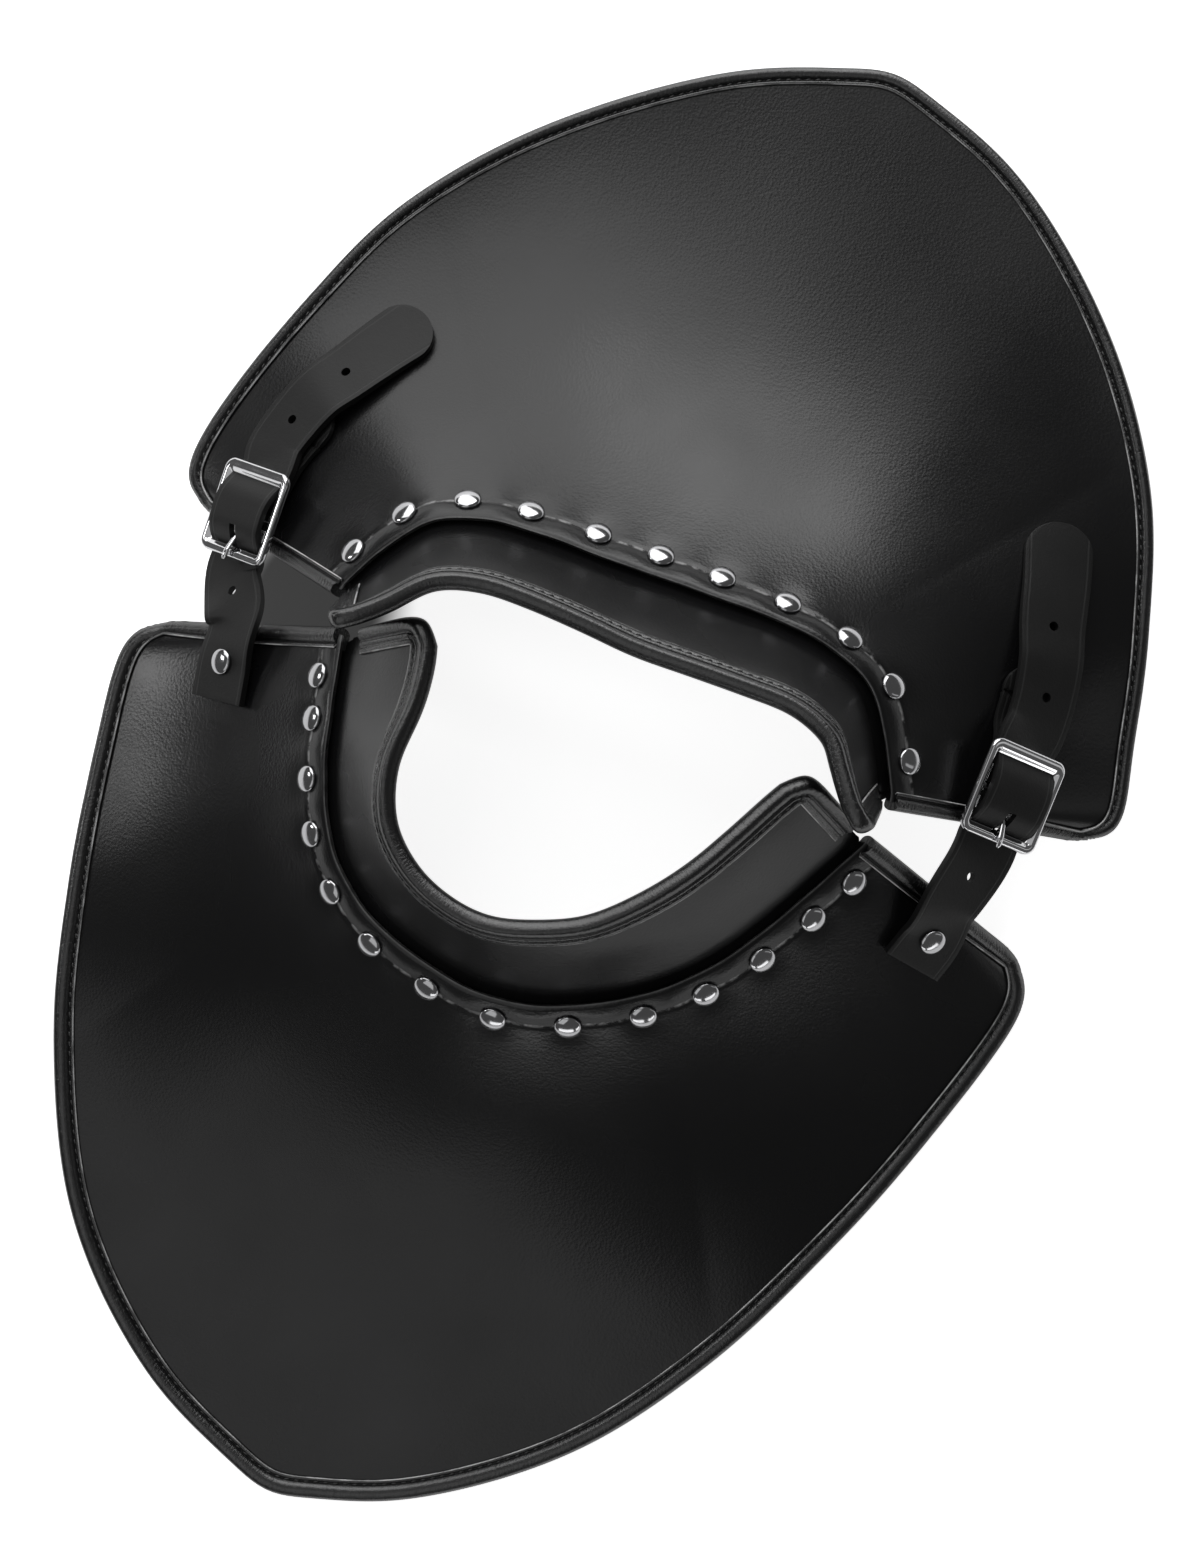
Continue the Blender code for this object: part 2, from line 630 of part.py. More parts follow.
class Trace:
    """Smooth way through knots, each a point and the normal of the leather there."""

    def __init__(self, knots):
        self.points = [point for point, normal in knots]
        self.normals = [normal for point, normal in knots]
        self.spans = [(after - before).length
                      for before, after in zip(self.points, self.points[1:])]

    def slope(self, values, knot):
        """Change of the values for each metre of way at a knot."""
        parts = []
        for span, low in ((knot - 1, knot - 1), (knot, knot)):
            if 0 <= span < len(self.spans):
                parts.append((self.spans[span], (values[low + 1] - values[low]) / self.spans[span]))
        if len(parts) == 1:
            return parts[0][1]
        (before, rise), (after, fall) = parts
        return (rise * after + fall * before) / (before + after)

    def value(self, values, span, share):
        length = self.spans[span]
        here, there = values[span], values[span + 1]
        leave = self.slope(values, span) * length
        arrive = self.slope(values, span + 1) * length
        rise = there - here
        return here + leave * share + (rise * 3 - leave * 2 - arrive) * share ** 2 \
            + (leave + arrive - rise * 2) * share ** 3

    def stations(self, round_start, round_end):
        """Span and share of each cross line, closer where an end is rounded."""
        places = []
        for span, length in enumerate(self.spans):
            count = max(1, min(3, round(length / STRIP_STEP)))
            places += [(span, step / count) for step in range(count)]
        last = len(self.spans) - 1
        if round_start:
            places = [(0, 0.0), (0, 0.04), (0, 0.18), (0, 0.45)] + [at for at in places if at[0]]
        if round_end:
            places = [at for at in places if at[0] < last] + [(last, 0.0), (last, 0.4),
                                                             (last, 0.75), (last, 0.94)]
        return places + [(last, 1.0)]


def make_strip(name, knots, width, wall, round_start, round_end, cutter, finish, group):
    """Flat strip of leather along knots, with square or rounded ends."""
    trace = Trace(knots)
    places = trace.stations(round_start, round_end)
    line = [trace.value(trace.points, *place) for place in places]
    run = [0.0]
    for before, after in zip(line, line[1:]):
        run.append(run[-1] + (after - before).length)

    def half_width(column):
        reach, half = 0.9 * width / 2, width / 2
        for rounded, gone in ((round_start, run[column]), (round_end, run[-1] - run[column])):
            if rounded and gone < reach:
                half *= max(0.3, math.sqrt(1 - (1 - gone / reach) ** 2))
        return half

    def vertex(column, row):
        ahead, behind = min(column + 1, len(line) - 1), max(column - 1, 0)
        along = line[ahead] - line[behind]
        across = along.cross(trace.value(trace.normals, *places[column])).normalized()
        return line[column] + across * half_width(column) * (1 - 2 * row)
    mesh = bent_grid(name, len(places) - 1, 1, vertex, lambda centre: Vector((0, 0, 1)))
    thing = add_object(name, mesh, finish, group)
    add_wall(thing, wall, 0.0, even=False)
    if cutter:
        cut(thing, cutter)
    return thing


def tube(name, points, radius, cyclic, finish, group):
    """Round bar along points, as a mesh with its caps joined."""
    curve = bpy.data.curves.new(name, "CURVE")
    curve.dimensions = "3D"
    curve.bevel_depth = radius
    curve.bevel_resolution = 1
    curve.use_fill_caps = not cyclic
    spline = curve.splines.new("POLY")
    spline.points.add(len(points) - 1)
    for place, point in zip(spline.points, points):
        place.co = (*point, 1.0)
    spline.use_cyclic_u = cyclic
    guide = bpy.data.objects.new(name + "_guide", curve)
    group.objects.link(guide)
    bpy.context.view_layer.update()
    evaluated = guide.evaluated_get(bpy.context.evaluated_depsgraph_get())
    mesh = bpy.data.meshes.new_from_object(evaluated)
    mesh.name = name
    bpy.data.objects.remove(guide)
    bm = bmesh.new()
    bm.from_mesh(mesh)
    bmesh.ops.remove_doubles(bm, verts=bm.verts, dist=0.00001)
    bm.to_mesh(mesh)
    bm.free()
    return add_object(name, mesh, finish, group)


def make_buckle(side, finish, group, helpers):
    """Rounded frame of round bar with a middle bar, one casting."""
    half_x = (BUCKLE_WINDOW + BUCKLE_BAR) / 2
    half_y = (BUCKLE_LENGTH - BUCKLE_BAR) / 2
    radius = BUCKLE_CORNER - BUCKLE_BAR / 2
    outline = []
    for turn, (sign_x, sign_y) in enumerate(((1, 1), (-1, 1), (-1, -1), (1, -1))):
        for step in range(3):
            angle = math.radians(90 * turn + 45 * step)
            outline.append((sign_x * (half_x - radius) + radius * math.cos(angle),
                            sign_y * (half_y - radius) + radius * math.sin(angle), 0.0))
    matrix = buckle_frame(side)
    frame = tube(f"buckle_{side.name}", outline, BUCKLE_BAR / 2, True, finish, group)
    bar = tube(f"buckle_bar_{side.name}", [(-half_x, 0.0, 0.0), (half_x, 0.0, 0.0)],
               0.45 * BUCKLE_BAR, False, finish, helpers)
    hide(bar)
    frame.matrix_world = matrix
    bar.matrix_world = matrix
    join(frame, bar)
    return frame


def make_prong(side, finish, group):
    frame = buckle_frame(side)
    points = [past_bars(frame, wave) for wave in PRONG_WAVES]
    return tube(f"prong_{side.name}", points, PRONG_THICKNESS / 2, False, finish, group)


def prism(matrix, depth, radius=RIVET_HOLE_RADIUS):
    return (matrix, "prism", (radius, depth))


def make_straps(side, leather, chrome, group, helpers):
    """Strap, tab, buckle, prong and the two rivets of one shoulder."""
    name = side.name
    frame = buckle_frame(side)
    spacing = (BUCKLE_LENGTH - BUCKLE_BAR) / 2
    depth = 4 * (STRAP_WALL + PLATE_WALL)
    knots = strap_knots(side)
    rivet = strap_rivet_seat(side)
    holes = [prism(rivet, depth)]
    gap_hole = knots[2][0].lerp(knots[3][0], 0.55)
    holes.append(prism(frame_at(gap_hole, (knots[3][0] - knots[2][0]).normalized(), knots[2][1]),
                       depth, STRAP_HOLE_RADIUS))
    for rest in side.tail:
        if rest.name == "hole":
            height = STRAP_BED + rest.height * STRAP_WALL
            holes.append(prism(stand_on(BACK_PLATE, rest.place, rest.share, height),
                               3 * STRAP_WALL, STRAP_HOLE_RADIUS))
    start, finish = PRONG_SLOT
    slot = frame @ Matrix.Translation((0.0, (start + finish) / 2 * spacing, 0.0))
    holes.append((slot, "box", (PRONG_THICKNESS + 4 * GAP, (finish - start) * spacing, depth)))
    cutter = add_cutter(f"strap_holes_{name}", holes, helpers)
    make_strip(f"strap_{name}", knots, STRAP_WIDTH, STRAP_WALL, False, True,
               cutter, leather, group)

    tab_rivet = stand_on(BACK_PLATE, side.tab_rivet.place, side.tab_rivet.share)
    cutter = add_cutter(f"tab_holes_{name}", [
        prism(tab_rivet, depth),
        (frame, "box", (PRONG_THICKNESS + 4 * GAP, 0.60 * spacing, 0.80 * spacing))], helpers)
    make_strip(f"buckle_tab_{name}", tab_knots(side), TAB_WIDTH, TAB_WALL, True, False,
               cutter, leather, group)

    make_buckle(side, chrome, group, helpers)
    make_prong(side, chrome, group)

    grip = STRAP_BED + (1 + side.rivet.height) * STRAP_WALL + PLATE_WALL + 4 * RIVET_BACK_SEAT
    mesh = rivet_mesh(f"strap_rivet_{name}", grip, RIVET_CAP_HEIGHT, chrome)
    seat = STRAP_WALL / 2 + 2 * RIVET_SEAT
    add_rivet(f"strap_rivet_{name}", mesh, rivet @ Matrix.Translation((0, 0, seat)), group)
    grip = TAB_BED + TAB_WALL + PLATE_WALL + GAP + RIVET_BACK_SEAT
    mesh = rivet_mesh(f"tab_rivet_{name}", grip, TAB_CAP_HEIGHT, chrome)
    seat = TAB_BED + TAB_WALL + GAP
    add_rivet(f"tab_rivet_{name}", mesh, tab_rivet @ Matrix.Translation((0, 0, seat)), group)


def make_half(name, plate, wall, shares, extra, finishes, group, helpers):
    """Plate, collar, their bindings and the rivets between them."""
    leather, binding, chrome = finishes
    grip = PLATE_WALL + FLANGE_GAP + COLLAR_WALL + RIVET_SEAT + RIVET_BACK_SEAT
    seats = [stand_on(plate, place, plate.share_at(place, RIVET_LINE))
             for place in rivet_places(plate, shares)]
    depth = 3 * (PLATE_WALL + COLLAR_WALL)
    holes = [prism(seat, depth) for seat in seats]
    cutter = add_cutter(f"{name}_rivet_holes", holes + extra, helpers)
    make_plate(f"{name}_plate", plate, cutter, leather, group)
    make_collar(f"{name}_collar", wall, cutter, leather, group)
    ends = [0.012] + [ring_share(plate, 0.0, ring) for ring in (3, 4, 5)]
    make_binding(f"{name}_plate_binding", plate, PLATE_WALL, plate.lap, PLATE_ROLL,
                 BINDING_GAP, ends, binding, group)
    make_binding(f"{name}_collar_binding", wall, COLLAR_WALL, RIM_LAP, RIM_ROLL,
                 1.1 * BINDING_GAP, (0.18, 0.45, 0.70), binding, group)
    mesh = rivet_mesh(f"{name}_rivet", grip, RIVET_CAP_HEIGHT, chrome)
    for number, seat in enumerate(seats, start=1):
        lifted = seat @ Matrix.Translation((0, 0, RIVET_SEAT))
        add_rivet(f"{name}_rivet_{number:02d}", mesh, lifted, group)


def main():
    clear_scene()
    group, helpers = collection("gorget"), collection("cutters")
    leather = material("black leather", BLACK_LEATHER)
    binding = material("black binding leather", BLACK_BINDING)
    strap = material("black strap leather", BLACK_STRAP)
    chrome = material("chrome", CHROME)
    depth = 4 * (STRAP_WALL + PLATE_WALL)
    on_front = [prism(strap_rivet_seat(side), depth) for side in SIDES]
    on_back = [prism(stand_on(BACK_PLATE, side.tab_rivet.place, side.tab_rivet.share), depth)
               for side in SIDES]
    finishes = (leather, binding, chrome)
    make_half("back", BACK_PLATE, BACK_WALL, BACK_RIVETS, on_back, finishes, group, helpers)
    make_half("front", FRONT_PLATE, FRONT_WALL, FRONT_RIVETS, on_front, finishes, group, helpers)
    for side in SIDES:
        make_straps(side, strap, chrome, group, helpers)


main()
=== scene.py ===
"""Leather gorget: the finished look of two collared plates joined by buckled straps.

Metres, +Z up. The gorget lies on the XY plane, its back tip towards +Y and its
front tip towards -Y. Left and right are -X and +X.
"""

import json
import math
from collections import namedtuple

import bpy
from mathutils import Matrix, Vector, noise

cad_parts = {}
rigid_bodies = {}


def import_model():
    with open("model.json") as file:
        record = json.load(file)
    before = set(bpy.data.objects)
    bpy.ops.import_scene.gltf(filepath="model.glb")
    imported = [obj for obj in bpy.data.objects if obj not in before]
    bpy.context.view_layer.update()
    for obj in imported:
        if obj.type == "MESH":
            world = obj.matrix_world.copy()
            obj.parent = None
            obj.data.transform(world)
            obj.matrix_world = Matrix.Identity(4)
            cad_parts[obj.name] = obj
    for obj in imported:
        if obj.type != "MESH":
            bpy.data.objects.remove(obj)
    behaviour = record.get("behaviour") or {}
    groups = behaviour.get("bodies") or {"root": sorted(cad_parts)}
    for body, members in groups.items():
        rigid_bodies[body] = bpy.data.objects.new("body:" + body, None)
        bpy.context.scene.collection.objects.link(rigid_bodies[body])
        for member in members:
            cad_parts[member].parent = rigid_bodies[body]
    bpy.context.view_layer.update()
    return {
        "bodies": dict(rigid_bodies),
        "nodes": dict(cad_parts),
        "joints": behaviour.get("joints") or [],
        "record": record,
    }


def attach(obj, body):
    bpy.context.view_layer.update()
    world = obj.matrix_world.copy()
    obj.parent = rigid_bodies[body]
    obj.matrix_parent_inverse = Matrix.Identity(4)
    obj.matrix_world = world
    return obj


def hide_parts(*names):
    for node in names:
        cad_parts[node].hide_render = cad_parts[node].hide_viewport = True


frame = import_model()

bl_info = {
    "name": "Leather gorget",
    "version": (1, 0, 0),
    "blender": (4, 5, 0),
    "location": "View3D > Sidebar > Gorget",
    "description": "Makes a riveted leather gorget with buckled shoulder straps",
    "category": "Add Mesh",
}

# Overall sizes of the two halves
PLATE_HALF_WIDTH = 0.1735
BACK_REACH = 0.27375
FRONT_REACH = 0.27375
NECK_HALF_WIDTH = 0.1000
BACK_NECK_DEPTH = 0.0765
FRONT_NECK_DEPTH = 0.0790
NECK_HEIGHT = 0.0640
NECK_SLOPE = math.radians(40.0)
EDGE_LIFT = 0.0060

# Collar that stands up round the neck
RIM_HALF_WIDTH = 0.1000
BACK_RIM_DEPTH = 0.0515
FRONT_RIM_DEPTH = 0.0555
RIM_HEIGHT = 0.1000
COLLAR_WALL = 0.0022
COLLAR_BULGE = 0.0015
FLANGE_DEPTH = 0.0140
FLANGE_HINGE = 0.0005
FLANGE_GAP = 0.0006
COLLAR_FOOT = 0.0030

# Leather walls and bindings
PLATE_WALL = 0.0030
BINDING_WALL = 0.0014
BACK_PLATE_LAP = 0.0036
FRONT_PLATE_LAP = 0.0050
RIM_LAP = 0.0068
BINDING_GAP = 0.0008
GAP = 0.0003

# Rivets
RIVET_CAP_RADIUS = 0.0046
RIVET_CAP_HEIGHT = 0.0018
RIVET_SHANK_RADIUS = 0.0014
RIVET_BACK_RADIUS = 0.0034
RIVET_BACK_THICKNESS = 0.0006
RIVET_SEAT = 0.0004
RIVET_BACK_SEAT = 0.0006
RIVET_LINE = 0.0088
TAB_CAP_HEIGHT = 0.0006

# Straps, buckles and the tabs that hold them
STRAP_WIDTH = 0.0240
STRAP_WALL = 0.0025
STRAP_BED = 0.0009
STRAP_HOLE_RADIUS = 0.0017
BUCKLE_LENGTH = 0.0340
BUCKLE_WINDOW = 0.0256
BUCKLE_BAR = 0.0030
BUCKLE_CORNER = 0.0040
BUCKLE_BED = 0.0100
PRONG_THICKNESS = 0.0018
TAB_WIDTH = 0.0220
TAB_WALL = 0.0018
TAB_BED = 0.0009

# One row for each section line from the neck out to the edge: left shoulder, corner,
# flank, side, arc, slope and fall, the tip, and the same back to the right shoulder.
# Neck and rim columns are shares of the neck and rim sizes, edge columns are shares
# of the plate's half width and reach, heights are shares of NECK_HEIGHT, EDGE_LIFT
# and RIM_HEIGHT.
Section = namedtuple("Section", "neck_x neck_y neck_z edge_x edge_y lift rim_x rim_y rim_z")

BACK_SECTIONS = [Section(*row) for row in (
    (-0.980, 0.353, 0.91, -0.944, 0.134, 0.20, -0.865, 0.33, 1.02),
    (-0.960, 0.425, 0.93, -1.0055, 0.172, 0.20, -0.820, 0.39, 1.02),
    (-0.900, 0.580, 0.96, -0.992, 0.271, 0.3, -0.735, 0.55, 1.01),
    (-0.780, 0.790, 1.00, -0.915, 0.434, 0.8, -0.625, 0.80, 1.00),
    (-0.600, 0.902, 1.00, -0.808, 0.597, 0.9, -0.470, 0.92, 0.99),
    (-0.380, 0.941, 1.00, -0.605, 0.763, 0.5, -0.295, 0.95, 0.99),
    (-0.170, 0.954, 1.00, -0.311, 0.915, 0.1, -0.100, 0.95, 0.99),
    (0.030, 0.974, 1.00, -0.006, 1.000, 0.0, 0.080, 0.94, 0.99),
    (0.240, 0.993, 1.00, 0.305, 0.933, 0.1, 0.260, 0.965, 0.99),
    (0.450, 1.007, 1.00, 0.593, 0.794, 0.5, 0.450, 0.99, 0.99),
    (0.640, 0.987, 1.00, 0.797, 0.629, 0.9, 0.630, 1.00, 0.99),
    (0.810, 0.902, 1.00, 0.910, 0.459, 0.8, 0.775, 0.91, 1.00),
    (0.920, 0.732, 0.97, 0.972, 0.325, 0.3, 0.850, 0.75, 1.01),
    (1.010, 0.536, 0.94, 1.008, 0.231, 0.20, 0.925, 0.58, 1.02),
    (1.030, 0.471, 0.93, 0.955, 0.195, 0.20, 0.995, 0.47, 1.02),
)]

FRONT_SECTIONS = [Section(*row) for row in (
    (-0.910, -0.165, 0.90, -0.921, 0.033, 0.20, -0.630, -0.47, 0.90),
    (-0.895, -0.101, 0.92, -0.980, 0.083, 0.20, -0.565, -0.35, 0.91),
    (-0.840, 0.127, 0.97, -0.944, 0.224, 0.3, -0.525, -0.03, 0.94),
    (-0.760, 0.418, 1.00, -0.876, 0.394, 0.8, -0.520, 0.35, 0.97),
    (-0.630, 0.696, 1.00, -0.774, 0.581, 0.9, -0.445, 0.68, 0.98),
    (-0.440, 0.880, 1.00, -0.593, 0.780, 0.5, -0.310, 0.89, 0.98),
    (-0.220, 0.968, 1.00, -0.322, 0.924, 0.1, -0.155, 0.99, 0.98),
    (0.010, 1.000, 1.00, -0.007, 1.000, 0.0, 0.000, 1.00, 0.98),
    (0.220, 0.949, 1.00, 0.260, 0.926, 0.1, 0.150, 0.91, 0.98),
    (0.410, 0.829, 1.00, 0.520, 0.783, 0.5, 0.310, 0.75, 0.98),
    (0.580, 0.671, 1.00, 0.701, 0.603, 0.9, 0.445, 0.49, 0.98),
    (0.730, 0.456, 1.00, 0.825, 0.415, 0.8, 0.550, 0.21, 0.97),
    (0.850, 0.190, 0.98, 0.910, 0.249, 0.3, 0.630, -0.09, 0.94),
    (0.975, -0.152, 0.94, 0.980, 0.051, 0.20, 0.715, -0.43, 0.91),
    (1.010, -0.253, 0.93, 0.935, -0.016, 0.20, 0.775, -0.53, 0.90),
)]

TIP_ROW = 7
TIP_ROUND = 0.17
LAST_ROW = 14

# Rivets as shares of the line they stand on, from the left shoulder
BACK_RIVETS = (0.052, 0.139, 0.226, 0.311, 0.404, 0.490, 0.573, 0.667, 0.757, 0.843, 0.941)
FRONT_RIVETS = (0.046, 0.095, 0.162, 0.223, 0.290, 0.360, 0.440, 0.520, 0.600, 0.686,
                0.757, 0.826, 0.897, 0.958)

# A strap lies on the front plate, passes the buckle and ends on the back plate.
# Rows give the place and share on the plate and the height of the leather over
# it, in walls of the strap. Bearing and pitch turn the buckle, in degrees.
Rest = namedtuple("Rest", "name place share height")
Side = namedtuple("Side", "name end rivet front buckle bearing pitch tail tab tab_rivet")

SIDES = [
    Side("left",
         end=Rest("square end", 1.68, 0.490, 0.2),
         rivet=Rest("rivet", 1.23, 0.480, 0.9),
         front=[Rest("shoulder", 0.30, 0.505, 2.4)],
         buckle=Rest("heel", 1.711, 0.601, 0.0), bearing=4.2, pitch=-4.0,
         tail=[Rest("over the tab", 2.02, 0.650, 1.35), Rest("hole", 2.33, 0.665, 1.35),
               Rest("tab end", 2.68, 0.668, 1.35), Rest("hole", 2.96, 0.660, 0.7),
               Rest("plate", 3.40, 0.658, 0.1), Rest("tip", 3.88, 0.660, 0.0)],
         tab=[Rest("under the tail", 1.98, 0.625, 0.0), Rest("middle", 2.30, 0.632, 0.0),
              Rest("end", 2.66, 0.628, 0.3)],
         tab_rivet=Rest("tab rivet", 2.14, 0.630, 0.0)),
    Side("right",
         end=Rest("square end", 12.69, 0.480, 0.2),
         rivet=Rest("rivet", 13.00, 0.465, 0.8),
         front=[Rest("shoulder", 13.75, 0.455, 2.1)],
         buckle=Rest("heel", 12.14, 0.512, 0.8), bearing=1.6, pitch=-1.0,
         tail=[Rest("over the tab", 11.82, 0.565, 1.75), Rest("hole", 11.47, 0.600, 1.5),
               Rest("tab end", 11.10, 0.627, 1.4), Rest("hole", 10.76, 0.650, 0.7),
               Rest("plate", 10.35, 0.688, 0.1), Rest("tip", 9.92, 0.730, 0.0)],
         tab=[Rest("under the tail", 11.86, 0.535, 0.0), Rest("middle", 11.50, 0.563, 0.0),
              Rest("end", 11.12, 0.585, 0.3)],
         tab_rivet=Rest("tab rivet", 11.68, 0.555, 0.0)),
]

# Way of the strap, the tab and the prong past the buckle's bars, toe to heel. Each
# pair is a share of the distance from the middle bar to an end bar, and a share of
# the height at which leather clears a bar.
STRAP_WAVES = ((-1.30, -1.25), (-1.00, -1.25), (-0.80, -0.62), (-0.62, 0.20), (-0.38, 0.92),
               (-0.12, 1.10), (0.14, 1.10), (0.40, 0.75), (0.63, 0.05), (0.81, -0.65),
               (1.00, -1.25))
TAB_WAVES = ((1.00, -2.30), (0.62, -1.75), (0.30, -1.25), (0.04, -1.06), (-0.115, -0.84),
             (-0.19, -0.30), (-0.20, 0.10))
PRONG_WAVES = ((0.13, -0.70), (0.01, -0.97), (-0.12, -0.75), (-0.23, -0.28), (-0.45, -0.10),
               (-0.72, 0.46), (-1.00, 0.93), (-1.17, 0.94))
PRONG_SLOT = (-0.82, -0.36)


def cubic(here, there, leave, arrive, share):
    """Value on the way from here to there, with its slopes where it leaves and arrives."""
    rise = there - here
    return here + leave * share + (rise * 3 - leave * 2 - arrive) * share ** 2 \
        + (leave + arrive - rise * 2) * share ** 3


def square_to(along, away):
    """Direction square to along that leans away."""
    return (away - along * away.dot(along)).normalized()


def smooth(values, place, first=0, last=LAST_ROW):
    """Catmull-Rom value at a place between the rows first and last."""
    row = min(max(int(place), first), last - 1)
    share = place - row
    here, there = values[row], values[row + 1]
    before = values[row - 1] if row > first else here * 2 - there
    after = values[row + 2] if row + 2 <= last else there * 2 - here
    return cubic(here, there, (there - before) / 2, (after - here) / 2, share)


def search(low, high, reached):
    """Halve the range until the value where reached turns true is found."""
    for _ in range(24):
        middle = (low + high) / 2
        if reached(middle):
            high = middle
        else:
            low = middle
    return (low + high) / 2


class Surface:
    """A sheet with a point for each place along it and share across it."""

    def __init__(self, facing):
        self.facing = facing

    def normal(self, place, share):
        step = 0.02
        low, high = max(place - step, 0.0), min(place + step, LAST_ROW)
        across = self.point(high, share) - self.point(low, share)
        along = self.point(place, share + step) - self.point(place, share - step)
        return (across.cross(along) * self.facing).normalized()

    def out_of_edge(self, place):
        """Direction square to the far edge, away from the sheet."""
        step = 0.05
        low, high = max(place - step, 0.0), min(place + step, LAST_ROW)
        edge = (self.point(high, 1.0) - self.point(low, 1.0)).normalized()
        down = self.point(place, 1.0) - self.point(place, 0.9)
        return square_to(edge, down)

    def out_of_end(self, share, right):
        """Direction square to the left or right end, away from the sheet."""
        place, inside = (LAST_ROW, LAST_ROW - 0.1) if right else (0.0, 0.1)
        end = (self.point(place, share + 0.02) - self.point(place, share - 0.02)).normalized()
        away = self.point(place, share) - self.point(inside, share)
        return square_to(end, away)

    def share_inside(self, place, lap):
        """Share at which the sheet is a lap away from its far edge."""
        edge, out = self.point(place, 1.0), self.out_of_edge(place)
        return search(0.2, 1.0, lambda share: (edge - self.point(place, share)).dot(out) < lap)

    def place_inside(self, share, lap, right):
        """Place at which the sheet is a lap away from its left or right end."""
        end, out = self.point(LAST_ROW if right else 0.0, share), self.out_of_end(share, right)

        def beyond(offset):
            place = LAST_ROW - offset if right else offset
            return (end - self.point(place, share)).dot(out) > lap
        offset = search(0.0, 5.0, beyond)
        return LAST_ROW - offset if right else offset

    def corner(self, lap, right):
        """Place and share a lap away from both the end and the far edge."""
        place, share = (LAST_ROW - 1.0 if right else 1.0), 0.9
        for _ in range(4):
            place = self.place_inside(share, lap, right)
            share = self.share_inside(place, lap)
        return place, share


class Plate(Surface):
    """Top of a plate that falls from the neck, share 0, to its edge, share 1."""

    def __init__(self, sections, facing, reach, neck_depth, lap):
        super().__init__(facing)
        self.lap = lap
        self.necks = [Vector((row.neck_x * NECK_HALF_WIDTH, row.neck_y * neck_depth * facing,
                              row.neck_z * NECK_HEIGHT)) for row in sections]
        self.edges = [Vector((row.edge_x * PLATE_HALF_WIDTH, row.edge_y * reach * facing,
                              row.lift * EDGE_LIFT)) for row in sections]

    def side_edge(self, place):
        if place <= TIP_ROW:
            return smooth(self.edges, place, 0, TIP_ROW)
        return smooth(self.edges, place, TIP_ROW, LAST_ROW)

    def edge(self, place):
        """Outline of the plate, with its tip rounded over a short way."""
        gone = (place - TIP_ROW) / TIP_ROUND
        if abs(gone) >= 1:
            return self.side_edge(place)
        before, after = self.side_edge(TIP_ROW - TIP_ROUND), self.side_edge(TIP_ROW + TIP_ROUND)
        tip = self.edges[TIP_ROW] + Vector((0.0, 0.0012 * self.facing, 0.0))
        share = (gone + 1) / 2
        return before * (1 - share) ** 2 + tip * (2 * share * (1 - share)) + after * share ** 2

    def point(self, place, share):
        neck, edge = smooth(self.necks, place), self.edge(place)
        run = (edge - neck).xy.length
        stack = PLATE_WALL + BINDING_GAP + BINDING_WALL
        steep = math.tan(NECK_SLOPE)
        mean = (neck.z - stack - edge.z) / run
        ease = max(0.0, 2 * mean - steep)
        foot = edge.z + stack * math.cos(math.atan(ease))
        height = cubic(neck.z, foot, -steep * run, -ease * run, share)
        flat = neck.lerp(edge, share)
        return Vector((flat.x, flat.y, height))

    def share_at(self, place, distance):
        """Share of a section line that lies a distance from the neck."""
        run = (self.edge(place) - smooth(self.necks, place)).xy.length
        start = self.point(place, 0.0)
        return search(0.0, 2 * distance / run,
                      lambda share: (self.point(place, share) - start).length > distance)

    def under(self, place, distance, depth):
        """Point a distance out from the neck and a depth under the top."""
        start = self.point(place, 0.0)
        if distance <= 0:
            slope = (self.point(place, 0.01) - start).normalized()
            return start + slope * distance - self.normal(place, 0.0) * depth
        share = self.share_at(place, distance)
        return self.point(place, share) - self.normal(place, share) * depth


class Wall(Surface):
    """Outer face of a collar, share 0 at its foot under the plate, 1 at its rim."""

    def __init__(self, plate, sections, rim_depth):
        super().__init__(-plate.facing)
        self.plate = plate
        self.rims = [Vector((row.rim_x * RIM_HALF_WIDTH, row.rim_y * rim_depth * plate.facing,
                             row.rim_z * RIM_HEIGHT)) for row in sections]

    def point(self, place, share):
        foot = self.plate.under(place, -COLLAR_FOOT, PLATE_WALL + GAP)
        rim = smooth(self.rims, place)
        bulge = Vector((0.0, 0.0, COLLAR_BULGE * math.sin(math.pi * min(max(share, 0.0), 1.0))))
        return foot.lerp(rim, share) + bulge

    def normal(self, place, share):
        upward = super().normal(place, share)
        return upward if upward.z > 0 else -upward


BACK_PLATE = Plate(BACK_SECTIONS, 1, BACK_REACH, BACK_NECK_DEPTH, BACK_PLATE_LAP)
FRONT_PLATE = Plate(FRONT_SECTIONS, -1, FRONT_REACH, FRONT_NECK_DEPTH, FRONT_PLATE_LAP)
BACK_WALL = Wall(BACK_PLATE, BACK_SECTIONS, BACK_RIM_DEPTH)
FRONT_WALL = Wall(FRONT_PLATE, FRONT_SECTIONS, FRONT_RIM_DEPTH)


def frame_at(origin, along, normal):
    """Matrix with X across, Y along and Z on the normal."""
    z_axis = square_to(along, normal)
    x_axis = along.cross(z_axis).normalized()
    turn = Matrix((x_axis, along, z_axis)).transposed().to_4x4()
    return Matrix.Translation(origin) @ turn


def stand_on(surface, place, share, height=0.0):
    """Matrix on a surface with Z along its normal and Y across the sections."""
    normal = surface.normal(place, share)
    step = 0.05
    along = (surface.point(place + step, share) - surface.point(place - step, share)).normalized()
    return frame_at(surface.point(place, share) + normal * height, square_to(normal, along),
                    normal)


